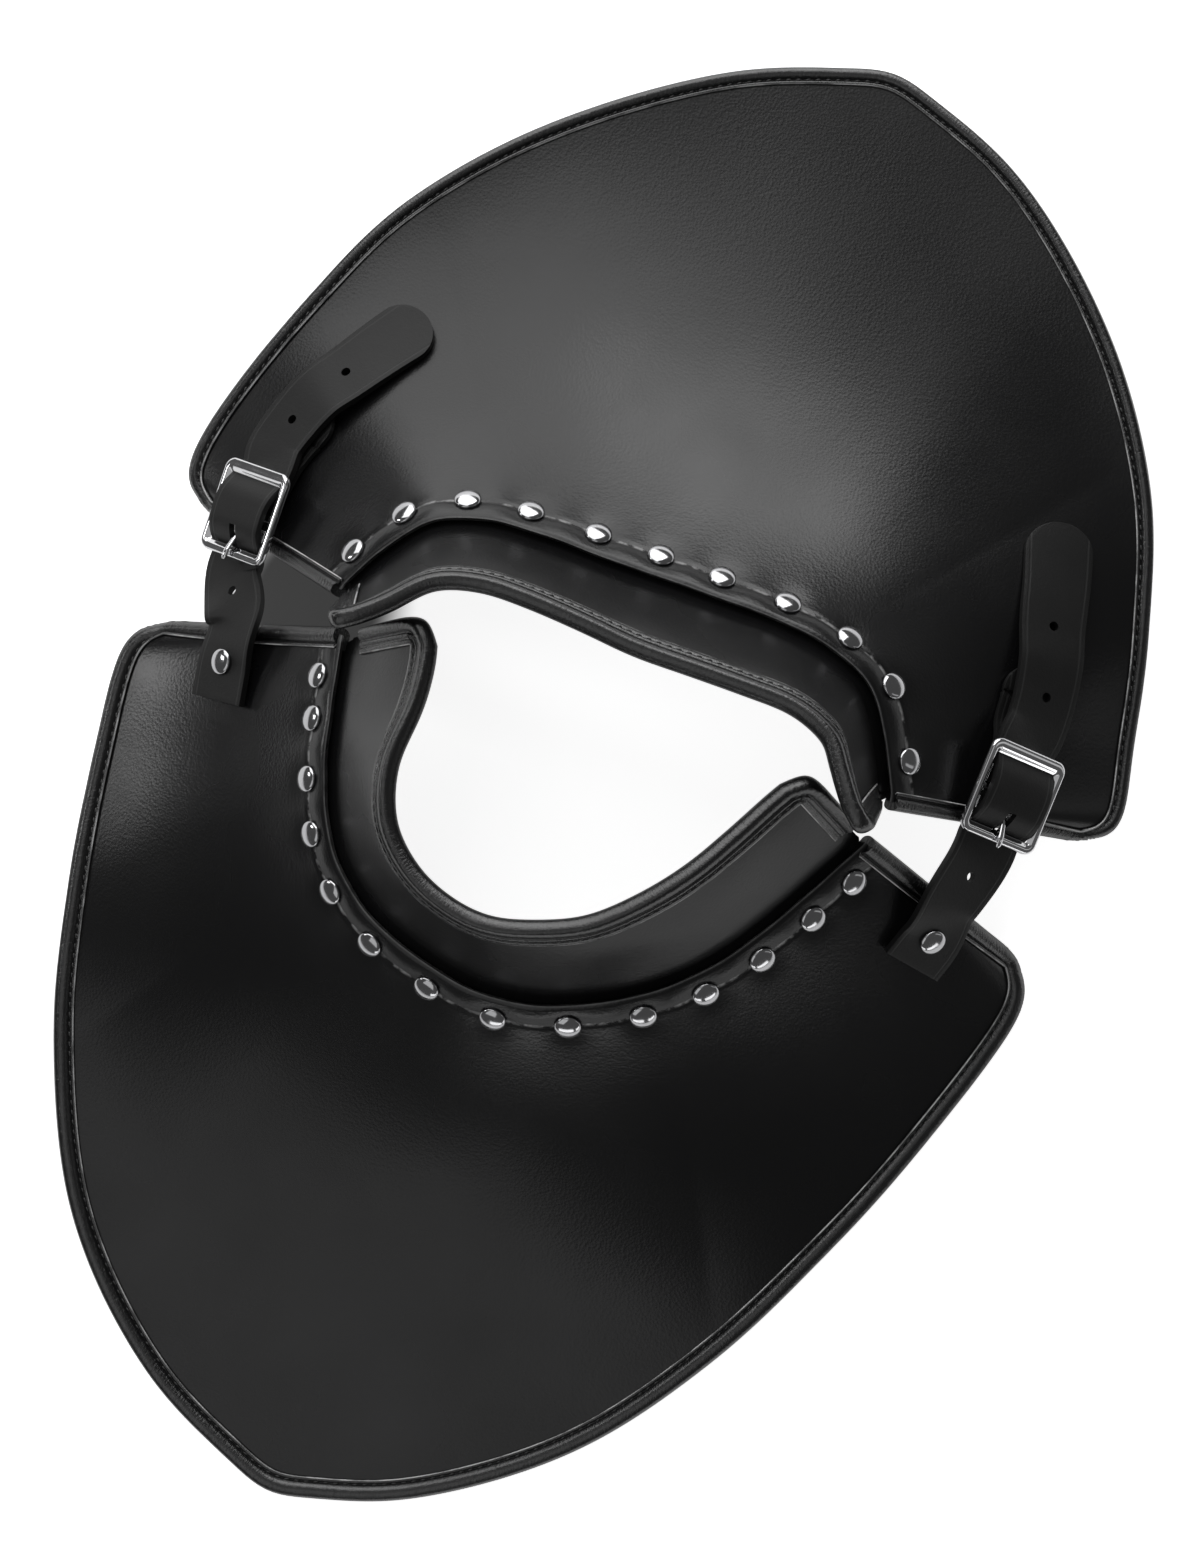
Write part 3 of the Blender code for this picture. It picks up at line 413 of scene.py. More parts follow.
def lengths_along(points):
    """Way gone at each point of a line."""
    run = [0.0]
    for before, after in zip(points, points[1:]):
        run.append(run[-1] + (after - before).length)
    return run


def rivet_places(plate, shares):
    """Places along the neck whose shares of the rivet line are given."""
    count = 20 * LAST_ROW
    line = [plate.under(LAST_ROW * step / count, RIVET_LINE, 0.0) for step in range(count + 1)]
    lengths = lengths_along(line)
    places = []
    for share in shares:
        step = sum(1 for length in lengths if length < share * lengths[-1])
        places.append(LAST_ROW * min(step, count) / count)
    return places


def buckle_frame(side):
    """Matrix at the middle bar: X across, Y towards the tail, Z up."""
    height = BUCKLE_BED + side.buckle.height * STRAP_WALL
    heel = stand_on(BACK_PLATE, side.buckle.place, side.buckle.share, height)
    bearing, pitch = math.radians(side.bearing), math.radians(side.pitch)
    toe = Vector((math.sin(bearing) * math.cos(pitch), -math.cos(bearing) * math.cos(pitch),
                  math.sin(pitch)))
    middle = heel.translation + toe * (BUCKLE_LENGTH / 2)
    return frame_at(middle, -toe, heel.to_3x3() @ Vector((0, 0, 1)))


def past_bars(frame, waves):
    """Points beside the buckle's bars, each with the direction up from the buckle."""
    spacing = (BUCKLE_LENGTH - BUCKLE_BAR) / 2
    level = BUCKLE_BAR / 2 + GAP + STRAP_WALL / 2
    up = frame.to_3x3() @ Vector((0, 0, 1))
    return [(frame @ Vector((0.0, along * spacing, over * level)), up) for along, over in waves]


def on_plate(plate, rest, bed, wall):
    """Middle of a leather strip that rests on a plate, and its normal."""
    normal = plate.normal(rest.place, rest.share)
    height = bed + wall / 2 + rest.height * STRAP_WALL
    return plate.point(rest.place, rest.share) + normal * height, normal


def strap_knots(side):
    knots = [on_plate(FRONT_PLATE, rest, STRAP_BED, STRAP_WALL)
             for rest in (side.end, side.rivet, *side.front)]
    knots += past_bars(buckle_frame(side), STRAP_WAVES)
    return knots + [on_plate(BACK_PLATE, rest, STRAP_BED, STRAP_WALL) for rest in side.tail]


def strap_rivet_seat(side):
    """Matrix in the middle of the strap where its rivet goes through."""
    (before, _), (middle, normal), (after, _) = strap_knots(side)[:3]
    return frame_at(middle, (after - before).normalized(), normal)


def tab_knots(side):
    knots = [on_plate(BACK_PLATE, rest, TAB_BED, TAB_WALL) for rest in reversed(side.tab)]
    return knots + past_bars(buckle_frame(side), TAB_WAVES)


class Trace:
    """Smooth way through knots, each a point and the normal of the leather there."""

    def __init__(self, knots):
        self.points = [point for point, normal in knots]
        self.normals = [normal for point, normal in knots]
        self.spans = [(after - before).length
                      for before, after in zip(self.points, self.points[1:])]

    def line(self, places):
        """Points at places, each a span and a share of it."""
        return [self.value(self.points, *place) for place in places]

    def slope(self, values, knot):
        """Change of the values for each metre of way at a knot."""
        parts = [(self.spans[span], (values[span + 1] - values[span]) / self.spans[span])
                 for span in (knot - 1, knot) if 0 <= span < len(self.spans)]
        if len(parts) == 1:
            return parts[0][1]
        (before, rise), (after, fall) = parts
        return (rise * after + fall * before) / (before + after)

    def value(self, values, span, share):
        length = self.spans[span]
        here, there = values[span], values[span + 1]
        leave = self.slope(values, span) * length
        arrive = self.slope(values, span + 1) * length
        return cubic(here, there, leave, arrive, share)


# Shared helpers

def linear(code):
    """Linear colour of an sRGB hex code."""
    parts = [int(code[at:at + 2], 16) / 255 for at in (0, 2, 4)]
    return tuple(part / 12.92 if part <= 0.04045 else ((part + 0.055) / 1.055) ** 2.4
                 for part in parts)


def deselect():
    for thing in bpy.context.selected_objects:
        thing.select_set(False)
    bpy.context.view_layer.objects.active = None


def pick(thing):
    deselect()
    thing.select_set(True)
    bpy.context.view_layer.objects.active = thing


def apply_modifier(piece, kind, **settings):
    pick(piece)
    modifier = piece.modifiers.new(kind.lower(), kind)
    for name, value in settings.items():
        setattr(modifier, name, value)
    bpy.ops.object.modifier_apply(modifier=modifier.name)


def close_and_turn(piece):
    """Merge doubles and turn the faces of a closed piece outwards."""
    pick(piece)
    bpy.ops.object.mode_set(mode="EDIT")
    bpy.ops.mesh.select_all(action="SELECT")
    bpy.ops.mesh.remove_doubles(threshold=0.000004)
    bpy.ops.mesh.normals_make_consistent(inside=False)
    bpy.ops.object.mode_set(mode="OBJECT")


def wrap_grid(name, columns, rows, place_vertex, place_uv):
    """Grid whose vertex (column, row) goes where place_vertex says, with a UV map in metres."""
    deselect()
    bpy.ops.mesh.primitive_grid_add(x_subdivisions=columns, y_subdivisions=rows, size=1.0)
    piece = bpy.context.object
    piece.name = piece.data.name = name
    mesh = piece.data
    spots = [(round((vertex.co.x + 0.5) * columns), round((vertex.co.y + 0.5) * rows))
             for vertex in mesh.vertices]
    for vertex, spot in zip(mesh.vertices, spots):
        vertex.co = place_vertex(*spot)
    uv = mesh.uv_layers.active
    uv.name = "Way"
    for loop in mesh.loops:
        uv.data[loop.index].uv = place_uv(*spots[loop.vertex_index])
    return piece


def face_up(piece):
    """Turn a sheet's faces to look upwards."""
    total = sum(face.normal.z * face.area for face in piece.data.polygons)
    if total < 0:
        piece.data.flip_normals()


def smooth_faces(piece, angle):
    pick(piece)
    bpy.ops.object.shade_smooth_by_angle(angle=math.radians(angle))


def hand_over(piece, slot, finish, *nodes):
    """Give a finished piece its material and body, and hide the CAD nodes it stands for. Its slot
    is not used.
    """
    piece.data.materials.clear()
    piece.data.materials.append(finish)
    if nodes:
        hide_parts(*nodes)
    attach(piece, "root")


def join_all(pieces, name):
    deselect()
    for piece in pieces:
        piece.select_set(True)
    bpy.context.view_layer.objects.active = pieces[0]
    if len(pieces) > 1:
        bpy.ops.object.join()
    pieces[0].name = pieces[0].data.name = name
    return pieces[0]


def copy_of(pattern, name, matrix):
    """Copy of a piece with its own mesh, its place in the mesh."""
    twin = bpy.data.objects.new(name, pattern.data.copy())
    bpy.context.scene.collection.objects.link(twin)
    twin.data.transform(matrix)
    return twin


def drop(piece):
    bpy.data.objects.remove(piece)


# Materials

# Cowhide of the plates and collars: roughness, distance of its pores, depth of its grain.
# Real pores are about 0.4 mm apart, too fine to show, so these are coarser.
HIDE_GLOSS = 0.265
PORE_PITCH = 0.0010
GRAIN_DEPTH = 0.00006


def add_node(tree, kind, links=None, out=0, to=None, **settings):
    """Output of a new node with its settings.

    Links give an input's name or number and what feeds it, and to is an input that it feeds.
    """
    node = tree.nodes.new("ShaderNode" + kind)
    for name, value in settings.items():
        if name == "stops":
            for element, (place, tone) in zip(node.color_ramp.elements, value):
                element.position = place
                element.color = tone
        elif name.startswith("in_"):
            key = name[3:]
            node.inputs[int(key) if key.isdigit() else key.replace("_", " ")].default_value = value
        else:
            setattr(node, name, value)
    for key, source in (links or {}).items():
        tree.links.new(source, node.inputs[key])
    if to is not None:
        tree.links.new(node.outputs[out], to)
    return node.outputs[out]


def shade(colour, share=1.0):
    """Colour with an alpha, made darker or lighter."""
    return (*(share * part for part in colour), 1.0)


def new_material(name, colour, roughness, **settings):
    """Material, its nodes, the inputs of its shader and the output of its Object coordinates."""
    made = bpy.data.materials.new(name)
    made.use_nodes = True
    inputs = made.node_tree.nodes["Principled BSDF"].inputs
    inputs["Base Color"].default_value = shade(colour)
    inputs["Roughness"].default_value = roughness
    for key, value in settings.items():
        inputs[key.replace("_", " ")].default_value = value
    return made, made.node_tree, inputs, add_node(made.node_tree, "TexCoord", out="Object")


def grainy_leather(name, colour, wear_and_highlight, crease):
    """Chrome-tanned cowhide, drum dyed black with a semi-matt finish.

    The eye gets a deep black with broad soft lights, broken by pores and fine creases.
    """
    made, tree, inputs, place = new_material(name, colour, HIDE_GLOSS, Specular_IOR_Level=0.5,
                                             IOR=1.5)
    # Clouds of dye 60 mm across
    cloud = add_node(tree, "TexNoise", {"Vector": place}, in_Scale=16.0, in_Detail=3.0)
    # Pebbles of the grain side
    pebble = add_node(tree, "TexVoronoi", {"Vector": place}, in_Scale=1.0 / PORE_PITCH)
    pore = add_node(tree, "TexNoise", {"Vector": place}, in_Scale=0.6 / PORE_PITCH,
                    in_Detail=5.0, in_Roughness=0.65)
    relief = add_node(tree, "Math", {0: pebble, 1: pore}, operation="ADD")
    tone = add_node(tree, "ValToRGB", {"Fac": cloud},
                    stops=((0.35, shade(colour, 0.8)), (0.7, shade(colour, 1.25))))
    if crease:
        way = add_node(tree, "UVMap", uv_map="Way")
        across = add_node(tree, "SeparateXYZ", {"Vector": way}, out="Y")
        away = add_node(tree, "Math", {0: across}, operation="SUBTRACT", in_1=crease)
        size = add_node(tree, "Math", {0: away}, operation="ABSOLUTE")
        # Scuffs of the creasing iron and a painted highlight, 0.5 mm either side of the scored
        # line
        line = add_node(tree, "MapRange", {"Value": size}, in_1=0.0002, in_2=0.0008, in_3=1.0,
                        in_4=0.0)
        broken = add_node(tree, "TexNoise", {"Vector": place}, in_Scale=260.0, in_Detail=5.0)
        breaks = add_node(tree, "MapRange", {"Value": broken}, in_1=0.44, in_2=0.60)
        scuff_and_highlight = add_node(tree, "Math", {0: line, 1: breaks}, operation="MULTIPLY")
        # The cut edge is rubbed grey and carries a painted highlight
        rim = add_node(tree, "MapRange", {"Value": across}, in_1=0.0001, in_2=0.0006, in_3=0.7,
                       in_4=0.0)
        rub_and_highlight = add_node(tree, "Math", {0: rim, 1: broken}, operation="MULTIPLY")
        for share in (scuff_and_highlight, rub_and_highlight):
            tone = add_node(tree, "Mix", {6: tone, 0: share}, out=2, data_type="RGBA",
                            in_7=shade(wear_and_highlight))
    tree.links.new(tone, inputs["Base Color"])
    add_node(tree, "MapRange", {"Value": cloud}, to=inputs["Roughness"], in_1=0.3, in_2=0.75,
             in_3=HIDE_GLOSS + 0.06, in_4=HIDE_GLOSS - 0.05)
    add_node(tree, "Bump", {"Height": relief}, to=inputs["Normal"], in_Strength=0.5,
             in_Distance=GRAIN_DEPTH)
    return made


def folded_leather(name, colour, wear_and_highlight):
    """Thin garment leather folded tight over an edge, with a waxed semi-gloss finish.

    The eye gets a bright streak along the roll, broken by slanting crinkles 0.7 mm apart.
    """
    made, tree, inputs, place = new_material(name, colour, 0.23, Specular_IOR_Level=1.0, IOR=1.5)
    way = add_node(tree, "UVMap", uv_map="Way")
    turned = add_node(tree, "Mapping", {"Vector": way}, in_Rotation=(0.0, 0.0, math.radians(25)),
                      in_Scale=(1400.0, 420.0, 1.0))
    crinkle = add_node(tree, "TexNoise", {"Vector": turned}, in_Scale=1.0, in_Detail=3.0,
                       in_Roughness=0.6, in_Distortion=0.4)
    pore = add_node(tree, "TexNoise", {"Vector": place}, in_Scale=1700.0, in_Detail=3.0)
    relief = add_node(tree, "Math", {0: crinkle, 1: pore, 2: crinkle}, operation="MULTIPLY_ADD")
    tone = add_node(tree, "ValToRGB", {"Fac": crinkle},
                    stops=((0.3, shade(colour, 0.7)), (0.75, shade(colour, 1.5))))
    # The lip's pared edge is rubbed and carries a painted highlight, bright and 0.5 mm wide
    across = add_node(tree, "SeparateXYZ", {"Vector": way}, out="Y")
    off = add_node(tree, "Math", {0: across}, operation="SUBTRACT", in_1=0.00085)
    near = add_node(tree, "Math", {0: off}, operation="ABSOLUTE")
    edge = add_node(tree, "MapRange", {"Value": near}, in_1=0.0001, in_2=0.0004, in_3=0.85,
                    in_4=0.0)
    patchy = add_node(tree, "TexNoise", {"Vector": place}, in_Scale=110.0, in_Detail=3.0)
    breaks = add_node(tree, "MapRange", {"Value": patchy}, in_1=0.40, in_2=0.58, in_3=0.25)
    rubbed_and_highlight = add_node(tree, "Math", {0: edge, 1: breaks}, operation="MULTIPLY")
    add_node(tree, "Mix", {6: tone, 0: rubbed_and_highlight}, out=2, to=inputs["Base Color"], data_type="RGBA",
             in_7=shade(wear_and_highlight))
    add_node(tree, "Bump", {"Height": relief}, to=inputs["Normal"], in_Strength=0.6,
             in_Distance=0.00022)
    return made


def strap_leather(name, colour, wear_and_highlight, half_width):
    """Bridle leather, black, rolled flat with a matt finish and creased along its edges.

    The eye gets an even dull black with a finer, lighter line just inside each edge.
    """
    made, tree, inputs, place = new_material(name, colour, 0.5, Specular_IOR_Level=0.38, IOR=1.5)
    way = add_node(tree, "UVMap", uv_map="Way")
    across = add_node(tree, "SeparateXYZ", {"Vector": way}, out="Y")
    off = add_node(tree, "Math", {0: across}, operation="ABSOLUTE")
    # Crease 1.8 mm inside the edge, 0.6 mm wide
    inset = add_node(tree, "Math", {0: off}, operation="SUBTRACT", in_1=half_width - 0.0018)
    near = add_node(tree, "Math", {0: inset}, operation="ABSOLUTE")
    crease = add_node(tree, "MapRange", {"Value": near}, in_1=0.0001, in_2=0.0005, in_3=1.0,
                      in_4=0.0)
    # Fibres 1.1 mm apart and clouds of dye 17 mm across
    fibre = add_node(tree, "TexNoise", {"Vector": place}, in_Scale=900.0, in_Detail=4.0,
                     in_Roughness=0.6)
    cloud = add_node(tree, "TexNoise", {"Vector": place}, in_Scale=60.0, in_Detail=3.0)
    tone = add_node(tree, "ValToRGB", {"Fac": cloud},
                    stops=((0.3, shade(colour, 0.85)), (0.75, shade(colour, 1.3))))
    share = add_node(tree, "Math", {0: crease}, operation="MULTIPLY", in_1=0.05)
    add_node(tree, "Mix", {6: tone, 0: share}, out=2, to=inputs["Base Color"], data_type="RGBA",
             in_7=shade(wear_and_highlight))
    pressed = add_node(tree, "Math", {0: crease}, operation="MULTIPLY", in_1=-0.8)
    relief = add_node(tree, "Math", {0: fibre, 1: pressed}, operation="ADD")
    add_node(tree, "Bump", {"Height": relief}, to=inputs["Normal"], in_Strength=0.5,
             in_Distance=0.00015)
    return made


def bright_plate(name, colour, low, high):
    """Steel with polished chrome or nickel plate, from low to high roughness.

    The eye gets mirror lights, softened by wiping smears about 2 mm apart.
    """
    made, tree, inputs, place = new_material(name, colour, low, Metallic=1.0)
    smear = add_node(tree, "TexNoise", {"Vector": place}, in_Scale=420.0, in_Detail=4.0)
    add_node(tree, "MapRange", {"Value": smear}, to=inputs["Roughness"], in_1=0.3, in_2=0.8,
             in_3=low, in_4=high)
    ripple = add_node(tree, "TexNoise", {"Vector": place}, in_Scale=160.0, in_Detail=1.0)
    add_node(tree, "Bump", {"Height": ripple}, to=inputs["Normal"], in_Strength=0.06,
             in_Distance=0.0003)
    return made


def waxed_thread(name, colour):
    """Bonded nylon thread, waxed. The eye gets small dark dashes with a twist 0.5 mm apart."""
    made, tree, inputs, place = new_material(name, colour, 0.4, Specular_IOR_Level=0.6, IOR=1.53)
    twist = add_node(tree, "TexNoise", {"Vector": place}, in_Scale=2000.0, in_Detail=2.0)
    add_node(tree, "Bump", {"Height": twist}, to=inputs["Normal"], in_Strength=0.5,
             in_Distance=0.0001)
    return made


def painted_board(name, colour):
    """Board painted white. The eye gets an even white, and the object less light than that, with
    painted shade, a dark patch without glow, under the gap at the left shoulder.
    """
    made, tree, inputs, place = new_material(name, colour, 0.7)
    inputs["Emission Color"].default_value = (1.0, 1.0, 1.0, 1.0)
    seen = add_node(tree, "LightPath", out="Is Camera Ray")
    glow = add_node(tree, "MapRange", {"Value": seen}, in_3=0.38, in_4=0.88)
    # Painted shade: under the deep gap at the left shoulder the floor is dark and does not glow
    away = add_node(tree, "VectorMath", {0: place}, out="Value", operation="DISTANCE",
                    in_1=PAINTED_SHADE_SPOT)
    outside_painted_shade = add_node(tree, "MapRange", {"Value": away}, interpolation_type="SMOOTHSTEP",
                   in_1=0.021, in_2=0.038)
    share = add_node(tree, "MapRange", {"Value": outside_painted_shade}, in_3=0.05)
    add_node(tree, "Math", {0: glow, 1: share}, to=inputs["Emission Strength"],
             operation="MULTIPLY")
    add_node(tree, "Mix", {0: outside_painted_shade}, out=2, to=inputs["Base Color"], data_type="RGBA",
             in_6=(0.03, 0.03, 0.03, 1.0), in_7=shade(colour))
    return made


def finish(name):
    """Material of that name, made once."""
    if name in bpy.data.materials:
        return bpy.data.materials[name]
    tones = bpy.context.scene.gorget_colours
    maker, *values = {
        "black cowhide": (grainy_leather, tones.leather, tones.wear_and_highlight, RIVET_LINE),
        "black collar cowhide": (grainy_leather, tones.leather, tones.wear_and_highlight, 0.0),
        "black folded leather": (folded_leather, tones.binding, tones.edge),
        "black bridle leather": (strap_leather, tones.strap, tones.wear_and_highlight, STRAP_WIDTH / 2),
        "black tab leather": (strap_leather, tones.strap, tones.wear_and_highlight, TAB_WIDTH / 2),
        "chrome plate": (bright_plate, tones.chrome, 0.06, 0.14),
        "nickel plate": (bright_plate, tones.nickel, 0.09, 0.16),
        "waxed nylon thread": (waxed_thread, tones.thread),
        "painted board": (painted_board, tones.floor),
    }[name]
    return maker(name, *values)


# Plates and collars

# Margin of a plate along its neck, in rows of their own, and rows of the field beyond
MARGIN_ROWS = 20
MARGIN_PITCH = 0.001
FIELD_ROWS = 26
# How far a plate reaches under its binding's lip
LIP_LAP = 0.0022
# Rounding of the margin's cut edge, and its swell beside the crease
EDGE_DROP, EDGE_ROUND = 0.0007, 0.0004
SWELL_RISE, SWELL_PLACE, SWELL_WIDTH = 0.0003, 0.0045, 0.0025


def margin_relief(distance, dimple, sizes):
    """Rise of a plate's top near the neck: rounded cut edge, scored crease and rivet dimples."""
    rounding = -EDGE_DROP * math.exp(-distance / EDGE_ROUND)
    swell = SWELL_RISE * math.exp(-((distance - SWELL_PLACE) / SWELL_WIDTH) ** 2)
    score = -sizes.crease_depth * math.exp(-((distance - RIVET_LINE) / sizes.crease_width) ** 2)
    return rounding + swell + score - sizes.dimple_depth * dimple


def make_plate(name, plate, rivets, sizes):
    """Plate with a fine margin along the neck."""
    columns = 24 * LAST_ROW
    seats = [plate.point(place, plate.share_at(place, RIVET_LINE)) for place in rivets]
    places = [LAST_ROW * column / columns for column in range(columns + 1)]
    necks = [plate.point(place, 0.0) for place in places]
    neck_run = lengths_along(necks)
    margins = [plate.share_at(place, MARGIN_PITCH * MARGIN_ROWS) for place in places]
    lips = [min(1.0, plate.share_inside(place, LIP_LAP)) for place in places]

    def share_of(column, row):
        margin = margins[column]
        if row <= MARGIN_ROWS:
            return margin * row / MARGIN_ROWS
        return margin + (lips[column] - margin) * (row - MARGIN_ROWS) / FIELD_ROWS

    def vertex(column, row):
        place, share = places[column], share_of(column, row)
        point = plate.point(place, share)
        if row > MARGIN_ROWS + 4:
            return point
        nearest = min((point - seat).length for seat in seats)
        dimple = math.exp(-(nearest / sizes.dimple_radius) ** 2)
        rise = margin_relief((point - necks[column]).length, dimple, sizes)
        return point + plate.normal(place, share) * rise

    def way(column, row):
        if row <= MARGIN_ROWS:
            return neck_run[column], MARGIN_PITCH * row
        return neck_run[column], \
            (plate.edge(places[column]) - necks[column]).length * share_of(column, row)
    piece = wrap_grid(name, columns, MARGIN_ROWS + FIELD_ROWS, vertex, way)
    face_up(piece)
    apply_modifier(piece, "SOLIDIFY", thickness=PLATE_WALL, offset=-1.0, use_even_offset=False)
    smooth_faces(piece, 50)
    return piece


# Rows of a collar's flange and of its wall
FLANGE_ROWS, WALL_ROWS = 4, 22
# Soft waves of a collar: waves for each metre, and their height
COLLAR_WAVES, WAVE_HEIGHT = 38.0, 0.0005


def make_collar(name, wall):
    """Collar with soft waves of worked leather and a flange under the plate."""
    plate, columns = wall.plate, 12 * LAST_ROW
    depth = PLATE_WALL + FLANGE_GAP
    clear = plate.lap + GAP + 0.35 * FLANGE_DEPTH
    rear = plate.share_at(TIP_ROW, FLANGE_DEPTH)
    first = plate.place_inside(rear, clear, False)
    last = plate.place_inside(rear, clear, True)
    run = lengths_along([wall.point(LAST_ROW * column / columns, 1.0)
                         for column in range(columns + 1)])

    def vertex(column, row):
        place = LAST_ROW * column / columns
        under = first + (last - first) * column / columns
        if row < FLANGE_ROWS:
            hinge = row / (FLANGE_ROWS - 1)
            reach = FLANGE_DEPTH - (FLANGE_DEPTH + FLANGE_HINGE) * hinge
            along = under + (place - under) * hinge ** 2
            beyond = max(first - along, along - last, 0.0) / first
            return plate.under(along, reach, depth + 0.0016 * beyond)
        share = (row - FLANGE_ROWS) / WALL_ROWS
        point = wall.point(place, share)
        wave = WAVE_HEIGHT * noise.noise(point * COLLAR_WAVES + Vector((3.1, 0.0, 7.7)))
        return point + wall.normal(place, share) * (wave * math.sin(math.pi * share))
    piece = wrap_grid(name, columns, FLANGE_ROWS + WALL_ROWS, vertex,
                      lambda column, row: (run[column], 0.1 + 0.0015 * row))
    face_up(piece)
    apply_modifier(piece, "SOLIDIFY", thickness=COLLAR_WALL, offset=-1.0, use_even_offset=False)
    smooth_faces(piece, 50)
    return piece


# Bindings

Station = namedtuple("Station", "edge normal out inner inner_normal folded sewn")


def ease(stations, times, points, ways, wanted):
    """Draw the named points and ways of the wanted stations towards their neighbours'."""
    for _ in range(times):
        eased = list(stations)
        for index in range(1, len(stations) - 1):
            near = stations[index - 1:index + 2]
            if wanted(*near):
                values = {}
                for name in points + ways:
                    before, here, after = (getattr(station, name) for station in near)
                    values[name] = here.lerp((before + after) / 2, 0.5) if name in points \
                        else (here * 2 + before + after).normalized()
                eased[index] = near[1]._replace(**values)
        stations = eased
    return stations


def edge_stations(surface, lap, ends, per_section):
    """Cross lines of a binding: down the left end, along the edge and up the right end."""
    corners = [surface.corner(lap, right) for right in (False, True)]

    def station(at, inner, out, folded, sewn):
        return Station(surface.point(*at), surface.normal(*at), out,
                       surface.point(*inner), surface.normal(*inner), folded, sewn)

    def on_end(share, right):
        folded = share > corners[right][1]
        inner = corners[right] if folded else (surface.place_inside(share, lap, right), share)
        return station((LAST_ROW * right, share), inner, surface.out_of_end(share, right),
                       folded, False)

    def on_corner(step, right):
        place = LAST_ROW * right
        out = surface.out_of_end(1.0, right).slerp(surface.out_of_edge(place), step)
        return station((place, 1.0), corners[right], out, True, False)

    def on_edge(place):
        right = place > corners[1][0]
        folded = right or place < corners[0][0]
        inner = corners[right] if folded else (place, surface.share_inside(place, lap))
        return station((place, 1.0), inner, surface.out_of_edge(place), folded, not folded)
    steps = per_section * LAST_ROW
    fan = [step / 5 for step in range(1, 5)]
    stations = [on_end(share, False) for share in ends] \
        + [on_corner(step, False) for step in fan] \
        + [on_edge(step / per_section) for step in range(steps + 1)] \
        + [on_corner(step, True) for step in reversed(fan)] \
        + [on_end(share, True) for share in reversed(ends)]
    # The corners are drawn round, and the sewn run loses its small kinks
    stations = ease(stations, 60, ("edge",), ("out", "normal"),
                    lambda before, here, after: here.folded)
    return ease(stations, 9, ("edge", "inner"), ("out",),
                lambda *near: all(station.sewn for station in near))


# Height of a plate's stitches over its leather: the front seam lies deep in its groove
SEAM_HEIGHTS = {"back": 0.00085, "front": 0.00048}
RIM_SEAM_HEIGHT = 0.0008
# Way out from the lip to the middle of the groove, in millimetres
PLATE_GROOVE, RIM_GROOVE = 1.62, 2.20
# How far a padded roll stands out beyond its edge
ROLL_REACH = 0.0028

# Cross-section of a binding. Each row is the way out from the lip and the height
# over the leather, in millimetres, for the top. The rest turns round the edge.
PLATE_TOP = ((0.0, 0.15), (0.0, 0.70), (0.12, 0.98), (0.45, 1.12), (0.95, 1.10), (1.25, 0.90),
             (1.50, 0.55), (1.75, 0.50), (2.00, 0.85), (2.35, 1.45))
RIM_TOP = ((0.0, 0.15), (0.0, 0.65), (0.12, 0.92), (0.45, 1.02), (1.30, 1.0), (1.70, 0.95),
           (2.05, 0.60), (2.35, 0.55), (2.70, 0.90), (3.10, 1.18), (3.60, 1.22), (4.05, 1.00),
           (4.35, 0.72), (4.65, 0.80), (5.0, 1.15))


def section_of(top, lap, wall, reach):
    """Closed cross-section round a sheet's edge: lip, groove, padded roll, underside."""
    lap, wall, reach = lap * 1000, wall * 1000, reach * 1000
    start, height = top[-1]
    width = lap + reach - start
    # The roll's underside lies 2.05 mm under the sheet, its crown a little over its start
    under = -wall - 2.05
    crown = height + 0.30 + 0.18 * width
    middle = (crown + under) / 2
    half = (crown - under) / 2
    centre = start + 0.50 * width
    points = list(top)
    for turn in range(60, -91, -15):
        angle = math.radians(turn)
        points.append((centre + 0.50 * width * math.cos(angle) ** 0.9,
                       middle + half * math.sin(angle)))
    points.insert(len(top), (start + 0.24 * width, middle + 0.93 * half))
    points += [(start + 0.2 * width, under + 0.25), (start - 0.2, -wall - 1.35),
               (0.6, -wall - 1.25), (0.0, -wall - 1.0), (0.0, -wall - 0.2)]
    points += [(lap, -wall - 0.15), (lap + 0.15, -wall / 2), (lap, 0.10)]
    return points


# Relief of the folded leather in millimetres: lumps, folds, and deeper folds at the corners
LUMP_HEIGHT, FOLD_HEIGHT, CORNER_FOLD_HEIGHT = 0.10, 0.06, 0.38


